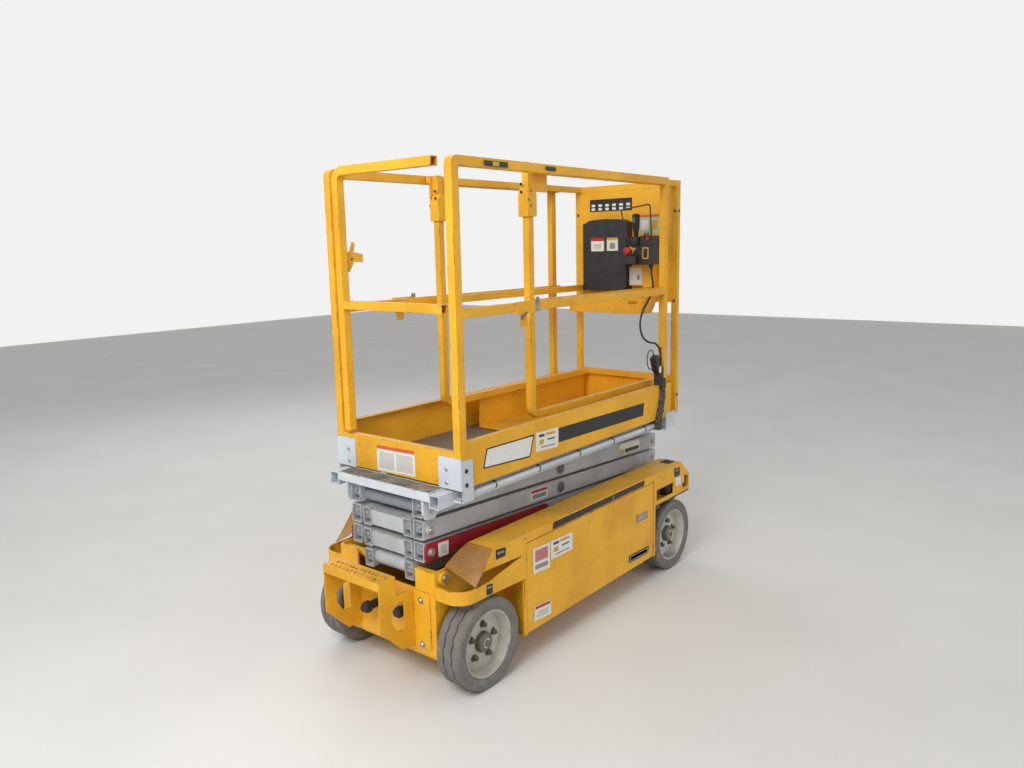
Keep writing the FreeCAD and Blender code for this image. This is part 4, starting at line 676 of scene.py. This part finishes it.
TOE, COVER, ARM, PROP, RAIL = (1, -327.0), (1, -381.0), (1, -191.0), (1, -201.3), (1, -331)
KICK, END, FOLDER, BRACKET, CONSOLE = (0, -698), (0, 912), (0, 852), (0, 876), (0, 735)
MIXED_BLOCKS = ((0.12, 0.38, 0.14, 0.28, "blue"), (0.42, 0.86, 0.12, 0.26, "gold"),
                (0.14, 0.34, 0.42, 0.68, "gold"), (0.5, 0.84, 0.44, 0.52, "blue"), (0.2, 0.86, 0.78, 0.85, "grey"))
WINDOWS = tuple((0.04 + 0.165 * k, 0.13 + 0.165 * k, v, v + 0.2, "white") for k in range(6) for v in (0.4, 0.7))
STICKERS = (
    ("toe_name_plate", "platform", TOE, ((-563, 873), (-283, 870), (-311, 786), (-584, 802)),
     "black", ((0.025, 0.975, 0.07, 0.93, "white"),)),
    ("toe_white", "platform", TOE, ((-272, 873), (-127, 868), (-130, 790), (-274, 798)), "white", MIXED_BLOCKS),
    ("toe_stripe", "platform", TOE, ((-125, 864), (550, 855), (541, 796), (-126, 806)), "black", ()),
    ("cover_stripe", "chassis", COVER, ((-243, 517), (465, 515), (461, 490), (-247, 489)),
     "black", ((0.62, 0.63, 0.1, 0.9, "grey"),)),
    ("door_high", "door_right", COVER, ((-373, 448), (-267, 444), (-267, 341), (-375, 349)),
     "white", ((0.12, 0.88, 0.1, 0.56, "pink"), (0.12, 0.88, 0.68, 0.86, "grey"))),
    ("door_white", "door_right", COVER, ((-262, 446), (-113, 440), (-112, 368), (-261, 368)),
     "white", MIXED_BLOCKS),
    ("door_low", "door_right", COVER, ((-368, 216), (-265, 207), (-263, 147), (-374, 156)),
     "white", ((0.04, 0.96, 0.05, 0.24, "red"), (0.16, 0.84, 0.42, 0.84, "pale"))),
    ("door_badge", "door_right", COVER, ((330, 193), (508, 187), (502, 156), (330, 160)),
     "black", ((0.04, 0.96, 0.14, 0.86, "grey"), (0.08, 0.92, 0.28, 0.72, "black"))),
    ("cover_black_high", "chassis", COVER, ((-590, 514), (-533, 508), (-536, 476), (-590, 477)),
     "black", ((0.15, 0.85, 0.3, 0.55, "grey"),)),
    ("cover_black_low", "chassis", COVER, ((-644, 400), (-610, 396), (-612, 359), (-646, 362)),
     "black", ((0.15, 0.85, 0.2, 0.4, "grey"),)),
    ("cover_far_black", "chassis", COVER, ((746, 504), (806, 499), (807, 457), (752, 459)),
     "black", ((0.2, 0.8, 0.2, 0.4, "grey"),)),
    ("cover_far_white", "chassis", COVER, ((764, 453), (820, 449), (820, 407), (770, 410)), "white", ()),
    ("arm_white", "outer_arms_2", ARM, ((-138, 583), (-19, 577), (-21, 531), (-141, 536)),
     "white", ((0.04, 0.96, 0.05, 0.3, "red"), (0.1, 0.9, 0.45, 0.85, "grey"))),
    ("arm_series", "outer_arms_3", ARM, ((560, 634), (742, 627), (744, 576), (561, 584)),
     "white", ((0.0, 0.2, 0.5, 0.96, "gold"), (0.24, 0.96, 0.55, 0.92, "black"))),
    ("prop_white", "outer_arms_1", PROP, ((-697, 532), (-643, 529), (-645, 476), (-696, 479)),
     "white", ((0.2, 0.8, 0.2, 0.8, "pale"),)),
    ("rail_black_near", "platform", RAIL, ((-540, 1868), (-413, 1868), (-413, 1850), (-538, 1850)),
     "black", ((0.35, 0.62, 0.1, 0.9, "gold"),)),
    ("rail_black_far", "platform", RAIL, ((-192, 1869), (-128, 1869), (-128, 1854), (-190, 1854)), "black", ()),
    ("kick_notice", "platform", KICK, ((103, 855), (-100, 859), (-101, 762), (104, 757)),
     "white", ((0.0, 1.0, 0.0, 0.14, "orange"), (0.06, 0.46, 0.24, 0.9, "pale"), (0.52, 0.94, 0.24, 0.9, "pale"))),
    ("end_black_plate", "extension", END, ((207, 1807), (-44, 1808), (-44, 1745), (207, 1746)), "black", WINDOWS),
    ("end_chart", "extension", END, ((-86, 1720), (-199, 1720), (-199, 1629), (-86, 1629)),
     "green", ((0.0, 1.0, 0.0, 0.14, "orange"), (0.1, 0.45, 0.3, 0.8, "white"), (0.55, 0.9, 0.3, 0.8, "gold"))),
    ("box_red_notice", "extension", FOLDER, ((161, 1613), (83, 1612), (83, 1546), (161, 1546)),
     "white", ((0.0, 1.0, 0.0, 0.24, "red"), (0.2, 0.8, 0.45, 0.8, "pale"))),
    ("box_gold_notice", "extension", FOLDER, ((66, 1613), (1, 1612), (1, 1547), (66, 1547)),
     "white", ((0.0, 1.0, 0.0, 0.2, "gold"), (0.25, 0.75, 0.4, 0.85, "grey"))),
    ("panel_white", "extension", BRACKET, ((-52, 1459), (-125, 1459), (-125, 1379), (-52, 1379)),
     "white", ((0.6, 0.8, 0.4, 0.7, "grey"),)),
    ("panel_frame", "extension", CONSOLE, ((-206, 1562), (-239, 1562), (-239, 1508), (-206, 1508)),
     "gold", ((0.16, 0.84, 0.1, 0.9, "black"),)),
)
for name, body, (axis, level), corners, ground, patches in STICKERS:
    outward = Vector(SIDEWARD if axis else NEARWARD)
    corners = [Vector((a, level, b) if axis else (level, a, b)) for a, b in corners]
    base = bmesh.new()
    film(base, corners, outward, FILM)
    forms = [(base, INK[ground])]
    raised = [c + outward * FILM for c in corners]
    for left, right, top, bottom, colour in patches:
        patch = bmesh.new()
        film(patch, part_of(raised, left, right, top, bottom), outward, PATCH)
        forms.append((patch, INK[colour]))
    piece(name, body, forms, flat=True)


# Platform details: anti-slip strip, conduit ties, straps on the mid rails, latch and bolts of the gate

STEP_TOP = 746
CONDUIT_Y, CONDUIT_Z = -311, 723.5
RAIL_FACE = 331

strip = bmesh.new()
for low, high in ((-236, -1), (1, 238)):
    plate(strip, (-770, low, STEP_TOP), (-704, high, STEP_TOP + 1.4))
piece("step_grip", "platform", [(strip, GRIT)], bevel=0.5)

ties = bmesh.new()
for x in (-507, -242, 33, 298, 574):
    turned(ties, (x, CONDUIT_Y, CONDUIT_Z), (1, 0, 0), [(12.2, -2.5), (13.6, -2.5), (13.6, 2.5), (12.2, 2.5)], 28,
           closed=True)
    plate(ties, (x - 3.5, CONDUIT_Y - 2, 735.6), (x + 3.5, CONDUIT_Y + 5, 740))
piece("conduit_ties", "platform", [(ties, JACKET)])

for side_name, side in SIDES:
    strap, lever = bmesh.new(), bmesh.new()
    face = side * RAIL_FACE
    plate(strap, (-268, face, 1340), (-244, face + side * 1.5, 1392))
    hex_bolt(strap, (-256, face + side * 1.5, 1383), (0, side, 0), 11, 4)
    turned(lever, (-352, face, 1322), (0, side, 0), [(0, 0), (7, 0), (7, 7), (5.5, 9), (0, 9)], 20)
    turned(lever, (-352, face + side * 5, 1322), (0.86, 0, 0.5), [(0, 0), (3.2, 0), (3.2, 34), (0, 35)], 14)
    piece("rail_strap_" + side_name, "platform", [(strap, STEEL), (lever, DULL_STEEL)], bevel=0.4)

# x, z round the forked latch plate
LATCH_EDGE = [(-671, 1505), (-664, 1496), (-648, 1519), (-640, 1535), (-598, 1531), (-594, 1562), (-640, 1570),
              (-632, 1604), (-645, 1609), (-657, 1574), (-671, 1570)]
LATCH_FACES = (245, 251)
bracket, latch_pin = bmesh.new(), bmesh.new()
between(bracket, *([bracket.verts.new((x, y, z)) for x, z in LATCH_EDGE] for y in LATCH_FACES))
round_head(latch_pin, (-651, LATCH_FACES[0], 1545), SIDEWARD, 5, 3)
piece("gate_latch", "gate", [(bracket, YELLOW), (latch_pin, DULL_STEEL)], bevel=1.0)

gate_bits = bmesh.new()
for z in (1374, 905):
    round_head(gate_bits, (-701.6, -262, z), NEARWARD, 6, 3)
piece("gate_bolts", "gate", [(gate_bits, DULL_STEEL)])


# Side covers: a dished sheet leads from each cover's near end down to the bar round the wheel

# three points of a bent line each, from the cover's top edge to the sheet's foot: x, distance from the middle, z
INNER_EDGE = ((-603, 262, 523), (-672, 262, 505), (-728, 262, 472))
OUTER_EDGE = ((-603, 380, 523), (-655, 380, 458), (-700, 380, 411))
SHEET_ROWS, SHEET_COLUMNS, SHEET_SAG, SHEET_WALL = 14, 10, 12, 3


def bent(edge, u):
    a, b, c = (Vector(p) for p in edge)
    return a * (1 - u) ** 2 + b * 2 * u * (1 - u) + c * u ** 2


def sheet_rows(form, side, depth):
    rows = []
    for i in range(SHEET_ROWS + 1):
        u = i / SHEET_ROWS
        row = []
        for k in range(SHEET_COLUMNS + 1):
            v = k / SHEET_COLUMNS
            spot = bent(INNER_EDGE, u).lerp(bent(OUTER_EDGE, u), v)
            spot.z -= depth + SHEET_SAG * math.sin(math.pi * u) * math.sin(math.pi * v)
            row.append(form.verts.new((spot.x, side * spot.y, spot.z)))
        rows.append(row)
    return rows


def join_rows(form, rows):
    for a, b in zip(rows, rows[1:]):
        for k in range(len(a) - 1):
            form.faces.new((a[k], a[k + 1], b[k + 1], b[k]))


for side_name, side in SIDES:
    form = bmesh.new()
    top, low = (sheet_rows(form, side, depth) for depth in (0, SHEET_WALL))
    join_rows(form, top)
    join_rows(form, low)
    for end in (0, -1):
        join_rows(form, (top[end], low[end]))
        join_rows(form, ([row[end] for row in top], [row[end] for row in low]))
    # the sheet's darker brown paint is dust and painted shade
    piece("arch_sheet_" + side_name, "chassis", [(form, DUSTY_SHADED_YELLOW)])


# Paddle latches on the doors and caps on the side covers' tops

for side_name, side in SIDES:
    dish, paddle = bmesh.new(), bmesh.new()
    face, dish_face = side * SIDE_FACE, side * (SIDE_FACE + 0.8)
    plate(dish, (397, face, 329), (493, dish_face, 364))
    plate(paddle, (405, dish_face, 335), (462, side * (SIDE_FACE + 2.4), 358))
    round_head(paddle, (477, dish_face, 347), (0, side, 0), 7, 1.8)
    latch = piece("door_latch_" + side_name, "door_" + side_name, [(dish, STEEL), (paddle, ZINC)], bevel=0.8)
    cap = bmesh.new()
    plate(cap, (752, side * 300, 522), (808, side * 352, 526))
    turned(cap, (780, side * 326, 526), (0, 0, 1), [(0, 0), (16, 0), (15, 5), (0, 6)], 24)
    piece("cover_latch_" + side_name, "chassis", [(cap, BLACK_PLASTIC)], bevel=1.5)


# Release knobs: a lobed hand knob and a lever knob

LOBED_KNOB = [(0, 0), (15, 0), (15, 34), (19, 38), (22, 42), (22, 60), (17, 67), (0, 67.5)]
LEVER_KNOB = [(0, 0), (17, 0), (17, 20), (20, 24), (21, 30), (21, 43), (16, 49.5), (0, 50)]
knobs = bmesh.new()
turned(knobs, (-775, 57, 265), NEARWARD, LOBED_KNOB, 48, lobes=(3, 2.0))
turned(knobs, (-775, -100, 284), NEARWARD, LEVER_KNOB, 40, lobes=(5, 0.8))
hand = piece("release_grips", "chassis", [(knobs, BLACK_PLASTIC)])
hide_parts("release_knobs")


# Control panel: ribbed boot, grip, mushroom button, rocker and cable gland

UPWARD, DOWNWARD = (0, 0, 1), (0, 0, -1)
STICK_X, STICK_Y = 770, -150
BUTTON = (735, -142, 1546)
BOOT_OUTLINE = [(0, 1), (33, 1), (33, 6), (29, 9), (31, 14), (25, 19), (27, 24), (21, 29), (23, 34), (17, 39),
                (18, 44), (0, 46)]
GRIP_OUTLINE = [(0, -1), (11, 0), (12, 20), (15, 34), (17, 52), (17.5, 78), (18.8, 92), (18, 102), (13, 107.5),
                (0, 109)]
MUSHROOM_OUTLINE = [(0, 2), (11, 2), (11, 22), (17, 24), (19, 28), (19, 35), (16, 42), (9, 44.6), (0, 45)]
GLAND_OUTLINE = [(0, 0), (11, 0), (11, 9), (8, 12), (7, 18), (4.9, 18)]
TOGGLE_OUTLINE = [(0, 0), (7, 0), (6, 4), (3, 5), (2.5, 16), (0, 17)]

boot = bmesh.new()
turned(boot, (STICK_X, STICK_Y, 1566), UPWARD, BOOT_OUTLINE, 36)
piece("stick_boot", "extension", [(boot, BOOT_RUBBER)])
grip, rocker = bmesh.new(), bmesh.new()
turned(grip, (STICK_X, STICK_Y, 1613), UPWARD, GRIP_OUTLINE)
plate(rocker, (STICK_X - 18.8, STICK_Y - 6, 1678), (STICK_X - 14, STICK_Y + 6, 1702))
stick = piece("stick_grip", "extension", [(grip, BOOT_RUBBER), (rocker, GREY_CASE)], bevel=0.6)
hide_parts("joystick")
mushroom, collar = bmesh.new(), bmesh.new()
turned(mushroom, BUTTON, NEARWARD, MUSHROOM_OUTLINE, 36)
turned(collar, BUTTON, NEARWARD, [(0, 0), (19, 0), (19, 2), (15, 3), (0, 3)], 30)
plate(collar, (733, -170, 1550), (735, -142, 1560))
button = piece("stop_mushroom", "extension", [(mushroom, RED_PLASTIC), (collar, INK["gold"])])
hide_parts("stop_button")
bits, red = bmesh.new(), bmesh.new()
turned(bits, (770, -234, 1480.2), DOWNWARD, GLAND_OUTLINE, 24)
for y in (-190, -206):
    turned(bits, (786, y, 1616), UPWARD, TOGGLE_OUTLINE, 18)
plate(red, (749, -232, 1594), (755, -216, 1611))
piece("panel_bits", "extension", [(bits, BLACK_PLASTIC), (red, RED_PLASTIC)], bevel=0.6)

plug_bits, tag = bmesh.new(), bmesh.new()
for z in (1088, 1010):
    turned(plug_bits, (722, -314, z), UPWARD, [(5, 0), (7, 0), (7, 4), (5, 4)], 20, closed=True)
plate(tag, (656, -345.6, 982), (676, -345, 1012))
piece("cable_ties_and_tag", "platform", [(plug_bits, JACKET), (tag, INK["white"])])


# Floor and lamps, in metres

FLOOR_REACH = 14


def lay_floor():
    mesh = bpy.data.meshes.new("floor")
    form = bmesh.new()
    bmesh.ops.create_grid(form, x_segments=2, y_segments=2, size=FLOOR_REACH)
    form.to_mesh(mesh)
    form.free()
    floor = bpy.data.objects.new("floor", mesh)
    bpy.context.scene.collection.objects.link(floor)
    material, tree, shader, place = blank_material("pale floor")
    shader.inputs["Roughness"].default_value = 0.75
    cloud = noise(tree, place, 600, 4.0)
    feed(tree, shader, "Base Color", ramp(tree, cloud, [(0.3, "#dcdbd8"), (0.7, "#e2e1de")]))
    mesh.materials.append(material)


# name, place, what it points at, size, watts
LAMPS = (("key lamp", (-3.2, -0.8, 3.2), (0, 0, 1.0), 1.9, 108),
         ("fill lamp", (1.5, -4.8, 2.8), (0, 0, 0.8), 3.0, 34),
         ("back lamp", (1.5, 4.0, 4.0), (0, 0, 1.0), 3.0, 60))


def light_studio():
    """A soft white room that the camera and shiny faces see as pale grey, and three square lamps."""
    world = bpy.data.worlds.new("studio")
    bpy.context.scene.world = world
    world.use_nodes = True
    tree = world.node_tree
    tree.nodes.clear()
    rays = add(tree, "ShaderNodeLightPath")
    seen = combine(tree, "MAXIMUM", (rays, "Is Camera Ray"), (rays, "Is Glossy Ray"))
    seen = combine(tree, "MAXIMUM", seen, (rays, "Is Transmission Ray"))
    soft = add(tree, "ShaderNodeBackground", [("Color", linear("#ffffff")), ("Strength", 0.46)])
    white = add(tree, "ShaderNodeBackground", [("Color", linear("#f2f2f2")), ("Strength", 1.0)])
    both = add(tree, "ShaderNodeMixShader",
               links=[("Fac", *seen), (1, soft, "Background"), (2, white, "Background")])
    add(tree, "ShaderNodeOutputWorld", links=[("Surface", both, "Shader")])
    for name, at, target, wide, watts in LAMPS:
        data = bpy.data.lights.new(name, "AREA")
        data.energy = watts
        data.size = wide
        lamp = bpy.data.objects.new(name, data)
        lamp.location = at
        lamp.rotation_euler = (Vector(target) - Vector(at)).to_track_quat("-Z", "Y").to_euler()
        bpy.context.scene.collection.objects.link(lamp)


lay_floor()
light_studio()
bpy.context.scene.view_settings.view_transform = "Standard"
